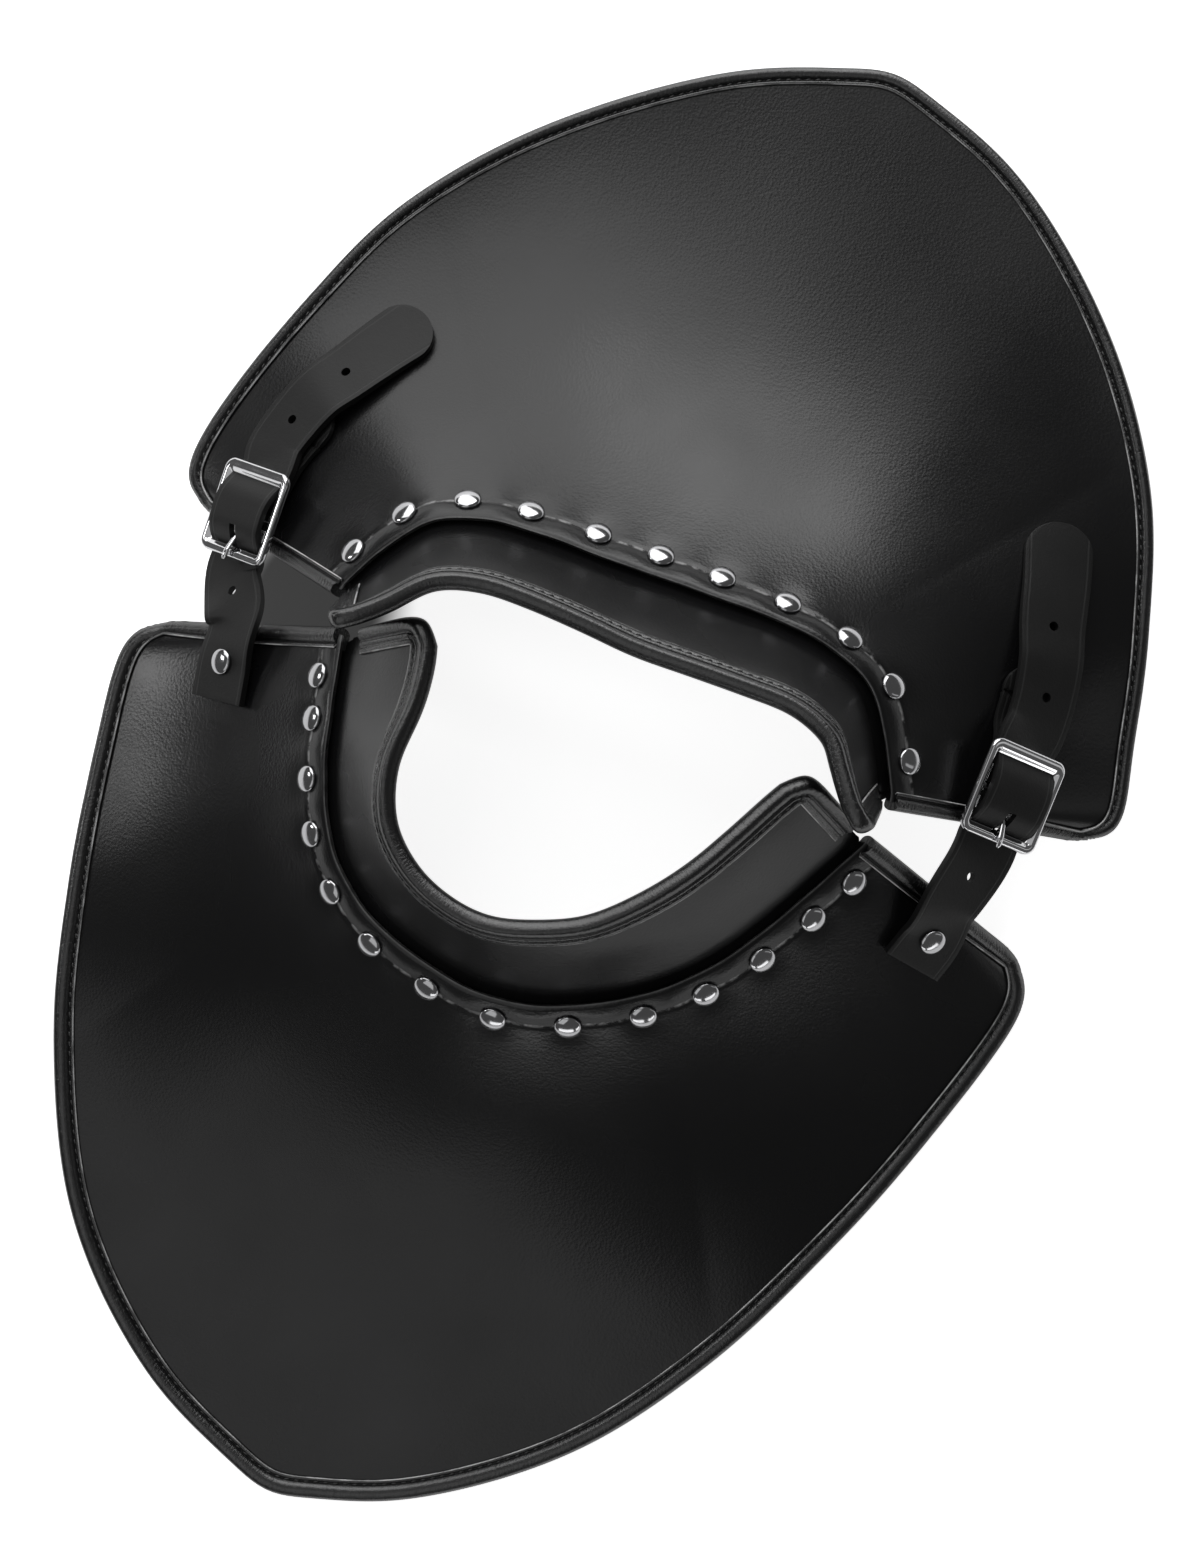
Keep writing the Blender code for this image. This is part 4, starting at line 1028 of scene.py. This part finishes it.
def wrap_section(name, stations, section, lap, crinkle):
    """Binding that carries a closed cross-section along its stations."""
    lap *= 1000
    edges = lengths_along([station.edge for station in stations])
    around = lengths_along([Vector((along, height, 0.0)) for along, height in section])
    count = len(section)

    def vertex(column, row):
        index = min(max(column - 1, 0), len(stations) - 1)
        station = stations[index]
        if column in (0, len(stations) + 1):
            along, height = 0.55 * lap, -1.0
        else:
            along, height = section[row % count]
        share = min(along / lap, 1.0)
        base = station.inner.lerp(station.edge, share)
        up = station.inner_normal.lerp(station.normal, share).normalized()
        beyond = max(along - lap, 0.0) / 1000
        run = edges[index]
        if 0 < column <= len(stations) and height > 0.3:
            lumps = noise.noise(Vector((run * 85.0, along * 0.25, 0.0)))
            folds = noise.noise(Vector((run * 900.0 + index * 0.45, along * 0.5, 3.0)))
            raised = min(1.0, along / 2.0)
            depth = FOLD_HEIGHT + CORNER_FOLD_HEIGHT * station.folded
            height += crinkle * raised * (LUMP_HEIGHT * lumps + depth * folds)
        return base + station.out * beyond + up * (height / 1000)
    piece = wrap_grid(name, len(stations) + 1, count, vertex, lambda column, row: (
        edges[min(max(column - 1, 0), len(stations) - 1)],
        (around[row % count] if row < count else around[-1]) / 1000))
    close_and_turn(piece)
    smooth_faces(piece, 55)
    return piece


def make_stitches(name, stations, groove, lap, height, sizes):
    """Saddle stitches laid in a binding's groove."""
    sewn = [station for station in stations if station.sewn]
    share = groove / (lap * 1000)
    line = [station.inner.lerp(station.edge, share) for station in sewn]
    ups = [station.inner_normal.lerp(station.normal, share).normalized() for station in sewn]
    run = lengths_along(line)
    deselect()
    bpy.ops.mesh.primitive_uv_sphere_add(segments=8, ring_count=6, radius=0.5)
    pattern = bpy.context.object
    size = (sizes.stitch_width, sizes.stitch_length, sizes.stitch_width)
    pattern.data.transform(Matrix.Diagonal((*size, 1.0)))
    slant = Matrix.Rotation(math.radians(10), 4, "Z")
    stitches, at, spot = [], 0.5 * sizes.stitch_pitch, 0
    while at < run[-1]:
        while run[spot + 1] < at:
            spot += 1
        span = run[spot + 1] - run[spot]
        share = (at - run[spot]) / span
        if span < 0.02:
            point = line[spot].lerp(line[spot + 1], share) + ups[spot] * height
            seat = frame_at(point, (line[spot + 1] - line[spot]).normalized(), ups[spot])
            stitches.append(copy_of(pattern, "stitch", seat @ slant))
        at += sizes.stitch_pitch
    drop(pattern)
    piece = join_all(stitches, name)
    smooth_faces(piece, 80)
    return piece


# Rivets

def build_rings(name, sides, rings):
    """Round solid about Z, drawn up ring by ring from a disc. Rings are radius and height."""
    deselect()
    radius, height = rings[0]
    bpy.ops.mesh.primitive_circle_add(vertices=sides, radius=radius, fill_type="NGON",
                                      location=(0.0, 0.0, height))
    piece = bpy.context.object
    bpy.ops.object.transform_apply(location=True, rotation=False, scale=False)
    piece.name = piece.data.name = name
    bpy.ops.object.mode_set(mode="EDIT")
    bpy.ops.mesh.select_all(action="SELECT")
    for next_radius, next_height in rings[1:]:
        bpy.ops.mesh.extrude_region_move(
            TRANSFORM_OT_translate={"value": (0.0, 0.0, next_height - height)})
        factor = next_radius / radius
        bpy.ops.transform.resize(value=(factor, factor, 1.0),
                                 center_override=(0.0, 0.0, next_height))
        radius, height = next_radius, next_height
    bpy.ops.mesh.select_all(action="SELECT")
    bpy.ops.mesh.normals_make_consistent(inside=False)
    bpy.ops.object.mode_set(mode="OBJECT")
    return piece


# Rings of a rivet's cap, from the rim in: share of its radius, share of its rise
CAP_RINGS = ((1.0, 0.14), (0.992, 0.28), (0.972, 0.40), (0.935, 0.50), (0.88, 0.60), (0.80, 0.70),
             (0.69, 0.80), (0.54, 0.89), (0.37, 0.953), (0.18, 0.989), (0.03, 1.0))


def rivet_pattern(grip, rise):
    """Low domed cap over a shank and a flat back."""
    cap, back = RIVET_CAP_RADIUS, RIVET_BACK_RADIUS
    rings = [(0.0020, -grip - RIVET_BACK_THICKNESS),
             (back * 0.9, -grip - 0.9 * RIVET_BACK_THICKNESS),
             (back, -grip - 0.5 * RIVET_BACK_THICKNESS), (back, -grip),
             (RIVET_SHANK_RADIUS, -grip), (RIVET_SHANK_RADIUS, 0.0),
             (0.93 * cap, -0.0003), (0.985 * cap, -0.0001)]
    rings += [(radius * cap, height * rise) for radius, height in CAP_RINGS]
    piece = build_rings("rivet", 40, rings)
    smooth_faces(piece, 60)
    return piece


def set_rivet(pattern, seat, name, node):
    hand_over(copy_of(pattern, name, seat), "chrome", finish("nickel plate"), node)


# Straps and buckle tabs

# Rows across a strip, length of a rounded end with closer cross lines, and their number
STRIP_ROWS = 12
ROUND_REACH = 0.014
ROUND_LINES = 14


def strip_lines(trace, step, round_start, round_end):
    """Span and share of each cross line, closer at rounded ends."""
    places = []
    for span, length in enumerate(trace.spans):
        count = max(2, math.ceil(length / step))
        places += [(span, at / count) for at in range(count)]
    last = len(trace.spans) - 1
    places.append((last, 1.0))
    fine = [at / ROUND_LINES for at in range(ROUND_LINES + 1)]
    if round_end:
        reach = min(1.0, ROUND_REACH / trace.spans[last])
        places = [at for at in places if at[0] < last or at[1] < 1 - reach]
        places += [(last, 1 - reach * (1 - at) ** 2) for at in fine]
    if round_start:
        reach = min(1.0, ROUND_REACH / trace.spans[0])
        places = [at for at in places if at[0] > 0 or at[1] > reach]
        places = [(0, reach * (1 - at) ** 2) for at in reversed(fine)] + places
    return places


def make_strip(name, knots, width, wall, round_start, round_end, cutters):
    """Flat leather strip with rounded edges along its knots."""
    trace = Trace(knots)
    places = strip_lines(trace, 0.0014, round_start, round_end)
    line = trace.line(places)
    run = lengths_along(line)

    def half_width(column):
        reach, half = 0.9 * width / 2, width / 2
        for rounded, gone in ((round_start, run[column]), (round_end, run[-1] - run[column])):
            if rounded and gone < reach:
                half *= max(0.06, math.sqrt(max(0.0, 1 - (1 - gone / reach) ** 2)))
        return half

    def across(column):
        ahead, behind = min(column + 1, len(line) - 1), max(column - 1, 0)
        along = line[ahead] - line[behind]
        return along.cross(trace.value(trace.normals, *places[column])).normalized()
    ways = [across(column) for column in range(len(line))]
    halves = [half_width(column) for column in range(len(line))]

    def vertex(column, row):
        return line[column] + ways[column] * halves[column] * (1 - 2 * row / STRIP_ROWS)

    def way(column, row):
        return run[column], halves[column] * (1 - 2 * row / STRIP_ROWS)
    piece = wrap_grid(name, len(places) - 1, STRIP_ROWS, vertex, way)
    face_up(piece)
    apply_modifier(piece, "SOLIDIFY", thickness=wall, offset=0.0, use_even_offset=False)
    apply_modifier(piece, "BEVEL", width=0.0005, segments=3, limit_method="ANGLE",
                   angle_limit=math.radians(50))
    cutter = join_all(cutters, "cutter")
    apply_modifier(piece, "BOOLEAN", operation="DIFFERENCE", solver="EXACT", object=cutter)
    drop(cutter)
    smooth_faces(piece, 40)
    return piece


def hole_cutter(matrix, depth):
    deselect()
    bpy.ops.mesh.primitive_cylinder_add(vertices=20, radius=STRAP_HOLE_RADIUS, depth=depth)
    bpy.context.object.data.transform(matrix)
    return bpy.context.object


def slot_cutter(matrix, length, depth):
    """Box a little wider than the prong."""
    deselect()
    bpy.ops.mesh.primitive_cube_add(size=1.0)
    size = Matrix.Diagonal((PRONG_THICKNESS + 4 * GAP, length, depth, 1.0))
    bpy.context.object.data.transform(matrix @ size)
    return bpy.context.object


# Buckles

MIDDLE_BAR_RADIUS = 0.45 * BUCKLE_BAR
MIDDLE_BAR_LENGTH = BUCKLE_WINDOW + 2 * BUCKLE_BAR - 0.003
# Sides of a prong's section, and its half width and half height in thicknesses
PRONG_SIDES = 14
PRONG_HALF_WIDTH, PRONG_HALF_HEIGHT = 0.62, 0.46
# Half of a bar's round section: share of its width from outside in, share of its half depth
BAR_PROFILE = ((0.0, 0.0), (0.03, 0.42), (0.08, 0.72), (0.16, 0.92), (0.26, 1.0), (0.48, 1.0),
               (0.56, 0.96), (0.62, 0.88), (0.78, 0.48), (0.94, 0.08), (1.0, 0.0))


def make_buckle(side, sizes):
    """Cast frame with rounded bars, drawn up ring by ring, and a middle bar."""
    outer_x, outer_y = BUCKLE_WINDOW / 2 + BUCKLE_BAR, BUCKLE_LENGTH / 2
    deselect()
    bpy.ops.mesh.primitive_plane_add(size=2.0)
    frame_piece = bpy.context.object
    frame_piece.scale = (outer_x, outer_y, 1.0)
    bpy.ops.object.transform_apply(location=False, rotation=False, scale=True)
    bpy.ops.object.mode_set(mode="EDIT")
    bpy.ops.mesh.select_all(action="SELECT")
    bpy.ops.mesh.bevel(offset=BUCKLE_CORNER, segments=9, affect="VERTICES")
    bpy.ops.mesh.select_all(action="SELECT")
    for (before, low), (after, high) in zip(BAR_PROFILE, BAR_PROFILE[1:]):
        bpy.ops.mesh.inset(thickness=(after - before) * sizes.side_bar, depth=0.0)
        bpy.ops.transform.translate(value=(0.0, 0.0, (high - low) * sizes.bar_depth / 2))
    bpy.ops.mesh.delete(type="FACE")
    bpy.ops.object.mode_set(mode="OBJECT")
    # The end bars are wider than the side bars
    for vertex in frame_piece.data.vertices:
        x, y = vertex.co.x, vertex.co.y
        past_x = abs(x) - (outer_x - BUCKLE_CORNER)
        past_y = abs(y) - (outer_y - BUCKLE_CORNER)
        reach = math.hypot(max(past_x, 0.0), max(past_y, 0.0)) + min(max(past_x, past_y), 0.0)
        inside = BUCKLE_CORNER - reach
        bar = sizes.heel_bar if y > 0 else sizes.toe_bar
        spread = (bar / sizes.side_bar - 1.0) * inside
        vertex.co.y = y * (outer_y - inside - spread) / (outer_y - inside)
    apply_modifier(frame_piece, "MIRROR", use_axis=(False, False, True), use_mirror_merge=True,
                   merge_threshold=0.00005)
    deselect()
    bpy.ops.mesh.primitive_cylinder_add(vertices=20, radius=MIDDLE_BAR_RADIUS,
                                        depth=MIDDLE_BAR_LENGTH)
    bar_piece = bpy.context.object
    bar_piece.data.transform(Matrix.Rotation(math.radians(90), 4, "Y"))
    piece = join_all([frame_piece, bar_piece], f"buckle_frame_{side.name}")
    close_and_turn(piece)
    piece.data.transform(buckle_frame(side))
    smooth_faces(piece, 50)
    return piece


def make_prong(side):
    """Tongue bent round the middle bar, flattened where it rests on the toe bar."""
    trace = Trace(past_bars(buckle_frame(side), PRONG_WAVES))
    up = trace.normals[0]
    places = strip_lines(trace, 0.0010, False, False)
    line = trace.line(places)
    run = lengths_along(line)

    def vertex(column, row):
        index = min(max(column - 1, 0), len(line) - 1)
        if column in (0, len(line) + 1):
            return line[index]
        ahead, behind = min(index + 1, len(line) - 1), max(index - 1, 0)
        along = (line[ahead] - line[behind]).normalized()
        across = along.cross(up).normalized()
        rise = across.cross(along).normalized()
        # The ends taper to 0.55 of the section over 0.9 mm
        left = run[-1] - run[index]
        blunt = min(1.0, (min(left, run[index]) / 0.0009) * 0.45 + 0.55)
        angle = 2 * math.pi * row / PRONG_SIDES
        wide = PRONG_HALF_WIDTH * PRONG_THICKNESS * blunt
        tall = PRONG_HALF_HEIGHT * PRONG_THICKNESS * blunt
        return line[index] + across * wide * math.cos(angle) + rise * tall * math.sin(angle)
    piece = wrap_grid(f"prong_bar_{side.name}", len(line) + 1, PRONG_SIDES, vertex,
                      lambda column, row: (0.001 * column, 0.0005 * row))
    close_and_turn(piece)
    smooth_faces(piece, 60)
    return piece


# What a user would change

def length_property(name, description, default, least):
    return bpy.props.FloatProperty(name=name, description=description, default=default,
                                   min=least, unit="LENGTH")


class GorgetSizes(bpy.types.PropertyGroup):
    stitch_pitch: length_property("Stitch pitch", "Distance from stitch to stitch", 0.0035, 0.002)
    stitch_length: length_property("Stitch length", "Length of the thread that shows", 0.0019,
                                   0.001)
    stitch_width: length_property("Thread width", "Width of the thread", 0.0007, 0.0002)
    dimple_depth: length_property("Dimple depth", "How far a rivet pulls the leather in", 0.0008,
                                  0.0)
    dimple_radius: length_property("Dimple radius", "Reach of the dimple round a rivet", 0.0068,
                                   0.001)
    crease_depth: length_property("Crease depth", "Depth of the scored line through the rivets",
                                  0.00035, 0.0)
    crease_width: length_property("Crease width", "Half width of the scored line", 0.0009, 0.0002)
    heel_bar: length_property("Heel bar", "Width of the buckle's bar over the tab", 0.0052, 0.002)
    toe_bar: length_property("Toe bar", "Width of the buckle's bar under the prong's tip", 0.0040,
                             0.002)
    side_bar: length_property("Side bar", "Width of the buckle's side bars", 0.0036, 0.002)
    bar_depth: length_property("Bar depth", "Thickness of the buckle's bars", 0.0028, 0.001)


def tone_property(name, description, code):
    return bpy.props.FloatVectorProperty(name=name, description=description, subtype="COLOR",
                                         size=3, min=0.0, max=1.0, default=linear(code))


class GorgetColours(bpy.types.PropertyGroup):
    leather: tone_property("Leather", "Dye of the plates and collars", "0d0d0e")
    binding: tone_property("Binding", "Dye of the folded bindings", "0c0c0d")
    strap: tone_property("Straps", "Dye of the straps and tabs", "101010")
    # Scuffs: scored and rubbed leather, and a painted highlight along the plates' crease and cut
    # edge
    wear_and_highlight: tone_property("Scuffs", "Leather where it is rubbed or scored", "8e8e8e")
    # Pared edges: the rubbed lip of the bindings, and a painted highlight along it
    edge: tone_property("Pared edges", "Rubbed lip of the bindings", "dcdcdc")
    thread: tone_property("Thread", "Waxed thread of the seams", "383838")
    chrome: tone_property("Chrome", "Plate of the buckles", "e2e2e4")
    nickel: tone_property("Nickel", "Plate of the rivets", "bebec0")
    floor: tone_property("Floor", "Floor that the gorget lies on", "f4f4f4")


HALVES = {"back": (BACK_PLATE, BACK_WALL, BACK_RIVETS),
          "front": (FRONT_PLATE, FRONT_WALL, FRONT_RIVETS)}


class GORGET_OT_plates(bpy.types.Operator):
    """Make the back and front plates"""
    bl_idname = "gorget.make_plates"
    bl_label = "Plates"

    def execute(self, context):
        for half, (plate, wall, shares) in HALVES.items():
            rivets = rivet_places(plate, shares)
            piece = make_plate(f"{half}_leather", plate, rivets, context.scene.gorget_sizes)
            hand_over(piece, "black_leather", finish("black cowhide"), f"{half}_plate")
        return {"FINISHED"}


class GORGET_OT_collars(bpy.types.Operator):
    """Make the two stand-up collars"""
    bl_idname = "gorget.make_collars"
    bl_label = "Collars"

    def execute(self, context):
        for half, (plate, wall, shares) in HALVES.items():
            piece = make_collar(f"{half}_collar_leather", wall)
            hand_over(piece, "black_leather", finish("black collar cowhide"), f"{half}_collar")
        return {"FINISHED"}


class GORGET_OT_bindings(bpy.types.Operator):
    """Fold the bindings over the plates' edges and the collars' rims, and stitch them"""
    bl_idname = "gorget.make_bindings"
    bl_label = "Bindings and stitches"

    def execute(self, context):
        sizes = context.scene.gorget_sizes
        # Shares of the ends that the bindings cover, from near the neck and the foot on
        plate_ends = [0.012 + 0.988 * step / 44 for step in range(45)]
        rim_ends = [0.16 + 0.84 * step / 20 for step in range(21)]
        leather = finish("black folded leather")
        thread = finish("waxed nylon thread")
        for half, (plate, wall, shares) in HALVES.items():
            stations = edge_stations(plate, plate.lap, plate_ends, 20)
            section = section_of(PLATE_TOP, plate.lap, PLATE_WALL, ROLL_REACH)
            piece = wrap_section(f"{half}_edge_binding", stations, section, plate.lap, 1.0)
            hand_over(piece, "black_binding", leather, f"{half}_plate_binding")
            seam = make_stitches(f"{half}_edge_stitches", stations, PLATE_GROOVE, plate.lap,
                                 SEAM_HEIGHTS[half], sizes)
            hand_over(seam, "black_binding", thread)
            stations = edge_stations(wall, RIM_LAP, rim_ends, 12)
            section = section_of(RIM_TOP, RIM_LAP, COLLAR_WALL, ROLL_REACH)
            piece = wrap_section(f"{half}_rim_binding", stations, section, RIM_LAP, 0.8)
            hand_over(piece, "black_binding", leather, f"{half}_collar_binding")
            seam = make_stitches(f"{half}_rim_stitches", stations, RIM_GROOVE, RIM_LAP,
                                 RIM_SEAM_HEIGHT, sizes)
            hand_over(seam, "black_binding", thread)
        return {"FINISHED"}


class GORGET_OT_rivets(bpy.types.Operator):
    """Set the rivets round the neck, in the straps and in the tabs"""
    bl_idname = "gorget.make_rivets"
    bl_label = "Rivets"

    def execute(self, context):
        sink = 0.6 * context.scene.gorget_sizes.dimple_depth
        grip = PLATE_WALL + FLANGE_GAP + COLLAR_WALL + RIVET_SEAT + RIVET_BACK_SEAT
        pattern = rivet_pattern(grip, RIVET_CAP_HEIGHT)
        for half, (plate, wall, shares) in HALVES.items():
            for number, place in enumerate(rivet_places(plate, shares), start=1):
                seat = stand_on(plate, place, plate.share_at(place, RIVET_LINE))
                set_rivet(pattern, seat @ Matrix.Translation((0.0, 0.0, RIVET_SEAT - sink)),
                          f"{half}_cap_{number:02d}", f"{half}_rivet_{number:02d}")
        drop(pattern)
        for side in SIDES:
            grip = STRAP_BED + (1 + side.rivet.height) * STRAP_WALL + PLATE_WALL \
                + 4 * RIVET_BACK_SEAT
            pattern = rivet_pattern(grip, RIVET_CAP_HEIGHT)
            seat = strap_rivet_seat(side) @ Matrix.Translation((0, 0, STRAP_WALL / 2 + RIVET_SEAT))
            set_rivet(pattern, seat, f"strap_cap_{side.name}", f"strap_rivet_{side.name}")
            drop(pattern)
            pattern = rivet_pattern(TAB_BED + TAB_WALL + PLATE_WALL + GAP + RIVET_BACK_SEAT,
                                    TAB_CAP_HEIGHT)
            seat = stand_on(BACK_PLATE, side.tab_rivet.place, side.tab_rivet.share)
            seat = seat @ Matrix.Translation((0, 0, TAB_BED + TAB_WALL + GAP))
            set_rivet(pattern, seat, f"tab_cap_{side.name}", f"tab_rivet_{side.name}")
            drop(pattern)
        return {"FINISHED"}


class GORGET_OT_straps(bpy.types.Operator):
    """Cut the shoulder straps and the tabs that hold the buckles"""
    bl_idname = "gorget.make_straps"
    bl_label = "Straps and tabs"

    def execute(self, context):
        spacing = (BUCKLE_LENGTH - BUCKLE_BAR) / 2
        for side in SIDES:
            knots = strap_knots(side)
            buckle = buckle_frame(side)
            (before, normal), (after, _) = knots[2:4]
            seat = frame_at(before.lerp(after, 0.55), (after - before).normalized(), normal)
            cutters = [hole_cutter(seat, 4 * STRAP_WALL)]
            for rest in side.tail:
                if rest.name == "hole":
                    seat = stand_on(BACK_PLATE, rest.place, rest.share,
                                    STRAP_BED + rest.height * STRAP_WALL)
                    cutters.append(hole_cutter(seat, 3 * STRAP_WALL))
            start, end = PRONG_SLOT
            seat = buckle @ Matrix.Translation((0.0, (start + end) / 2 * spacing, 0.0))
            cutters.append(slot_cutter(seat, (end - start) * spacing, 8 * STRAP_WALL))
            strap = make_strip(f"strap_leather_{side.name}", knots, STRAP_WIDTH, STRAP_WALL,
                               False, True, cutters)
            hand_over(strap, "black_strap", finish("black bridle leather"), f"strap_{side.name}")
            notch = slot_cutter(buckle, 0.60 * spacing, 0.80 * spacing)
            tab = make_strip(f"tab_leather_{side.name}", tab_knots(side), TAB_WIDTH, TAB_WALL,
                             True, False, [notch])
            hand_over(tab, "black_strap", finish("black tab leather"), f"buckle_tab_{side.name}")
        return {"FINISHED"}


class GORGET_OT_buckles(bpy.types.Operator):
    """Cast the buckles and their prongs"""
    bl_idname = "gorget.make_buckles"
    bl_label = "Buckles and prongs"

    def execute(self, context):
        chrome = finish("chrome plate")
        for side in SIDES:
            buckle = make_buckle(side, context.scene.gorget_sizes)
            hand_over(buckle, "chrome", chrome, f"buckle_{side.name}")
            hand_over(make_prong(side), "chrome", chrome, f"prong_{side.name}")
        return {"FINISHED"}


# Middle of the painted shade on the floor in the left shoulder's gap
PAINTED_SHADE_SPOT = (-0.1158, 0.0213, 0.0)

UP = (0.0, 0.0, 1.0)
BACK_SPOT = (0.02, 0.15, 0.02)
BACK_LEAN = (-0.33, -0.64, 0.70)

# Area lights: place, what each faces, its upward way, width and height, watts
LIGHTS = {
    "overhead panel": ((-0.25, -0.15, 1.75), (0.0, 0.0, 0.0), (0.0, 1.0, 0.0), (1.2, 1.2), 1.5),
    "back softbox": ((-0.795, 1.46, 0.822), BACK_SPOT, BACK_LEAN, (1.90, 1.50), 18.6),
    "back inner softbox": ((-0.16, 1.60, 0.90), BACK_SPOT, BACK_LEAN, (0.62, 0.95), 3.2),
    "back upper panel": ((-1.109, 0.801, 1.563), BACK_SPOT, BACK_LEAN, (1.90, 0.55), 6.2),
    "left softbox": ((-1.46, -0.16, 0.74), (-0.15, -0.04, 0.02), UP, (0.25, 0.34), 1.9),
    "front softbox": ((-0.20, -1.05, 1.30), (0.0, -0.15, 0.0), UP, (1.20, 1.10), 2.4),
    "front low strip": ((0.45, -1.50, 0.25), (0.02, 0.0, 0.02), UP, (0.90, 0.24), 1.2),
    "right low strip": ((1.35, -0.95, 0.22), (0.10, 0.0, 0.02), UP, (0.80, 0.22), 1.0),
    "right strip": ((1.50, 0.35, 0.70), (0.10, 0.10, 0.02), UP, (0.25, 0.90), 0.3),
}


def look_at(place, target, upward):
    """Matrix at a place with its Z away from the target and its Y upward."""
    back = (Vector(place) - Vector(target)).normalized()
    return frame_at(Vector(place), square_to(back, Vector(upward)), back)


def hang(name, data, place, target, upward):
    """Light or camera at a place, turned to its target."""
    thing = bpy.data.objects.new(name, data)
    bpy.context.scene.collection.objects.link(thing)
    thing.matrix_world = look_at(place, target, upward)
    return thing


class GORGET_OT_stage(bpy.types.Operator):
    """Lay the pale floor, hang the studio lights and set the camera"""
    bl_idname = "gorget.make_stage"
    bl_label = "Floor, lights and camera"

    def execute(self, context):
        scene = context.scene
        deselect()
        bpy.ops.mesh.primitive_plane_add(size=90.0, location=(0.0, 0.0, 0.0))
        floor = context.object
        floor.name = "studio_floor"
        floor.data.transform(Matrix.Translation((0.0, 0.0, -0.0004)))
        floor.data.materials.append(finish("painted board"))
        scene.world = bpy.data.worlds.new("studio")
        scene.world.use_nodes = True
        tree = scene.world.node_tree
        sky = tree.nodes["Background"].inputs
        sky["Color"].default_value = (1.0, 1.0, 1.0, 1.0)
        # The walls of the studio are pale, and their light on the leather is dim
        seen = add_node(tree, "LightPath", out="Is Camera Ray")
        add_node(tree, "MapRange", {"Value": seen}, to=sky["Strength"], in_3=0.09)
        for name, (place, target, upward, size, watts) in LIGHTS.items():
            data = bpy.data.lights.new(name, "AREA")
            data.shape = "RECTANGLE"
            data.size, data.size_y = size
            data.energy = watts
            hang(name, data, place, target, upward)
        data = bpy.data.cameras.new("camera")
        data.sensor_width = 36.0
        data.lens = CAMERA_LENS
        data.clip_start, data.clip_end = 0.05, 200.0
        scene.camera = hang("camera", data, CAMERA_PLACE, CAMERA_TARGET, CAMERA_UP)
        scene.view_settings.view_transform = "Standard"
        return {"FINISHED"}


# Camera at the photograph's angle, almost straight above
CAMERA_PLACE = (0.1193, 0.0034, 1.0940)
CAMERA_TARGET = (0.0043, 0.0034, 0.0)
CAMERA_UP = (-0.4067, 0.9135, 0.0)
CAMERA_LENS = 71.3

STEPS = (GORGET_OT_stage, GORGET_OT_plates, GORGET_OT_collars, GORGET_OT_bindings,
         GORGET_OT_rivets, GORGET_OT_straps, GORGET_OT_buckles)


class GORGET_PT_panel(bpy.types.Panel):
    """Steps that make the gorget, and its sizes and colours"""
    bl_idname = "GORGET_PT_panel"
    bl_label = "Gorget"
    bl_space_type = "VIEW_3D"
    bl_region_type = "UI"
    bl_category = "Gorget"

    def draw(self, context):
        for step in STEPS:
            self.layout.operator(step.bl_idname)
        for group in (context.scene.gorget_sizes, context.scene.gorget_colours):
            for name in group.__annotations__:
                self.layout.prop(group, name)


CLASSES = (GorgetSizes, GorgetColours, *STEPS, GORGET_PT_panel)


def register():
    for kind in CLASSES:
        bpy.utils.register_class(kind)
    bpy.types.Scene.gorget_sizes = bpy.props.PointerProperty(type=GorgetSizes)
    bpy.types.Scene.gorget_colours = bpy.props.PointerProperty(type=GorgetColours)


def unregister():
    del bpy.types.Scene.gorget_colours
    del bpy.types.Scene.gorget_sizes
    for kind in reversed(CLASSES):
        bpy.utils.unregister_class(kind)


def main():
    register()
    bpy.ops.gorget.make_stage()
    bpy.ops.gorget.make_plates()
    bpy.ops.gorget.make_collars()
    bpy.ops.gorget.make_bindings()
    bpy.ops.gorget.make_rivets()
    bpy.ops.gorget.make_straps()
    bpy.ops.gorget.make_buckles()
    deselect()


if __name__ == "__main__":
    main()
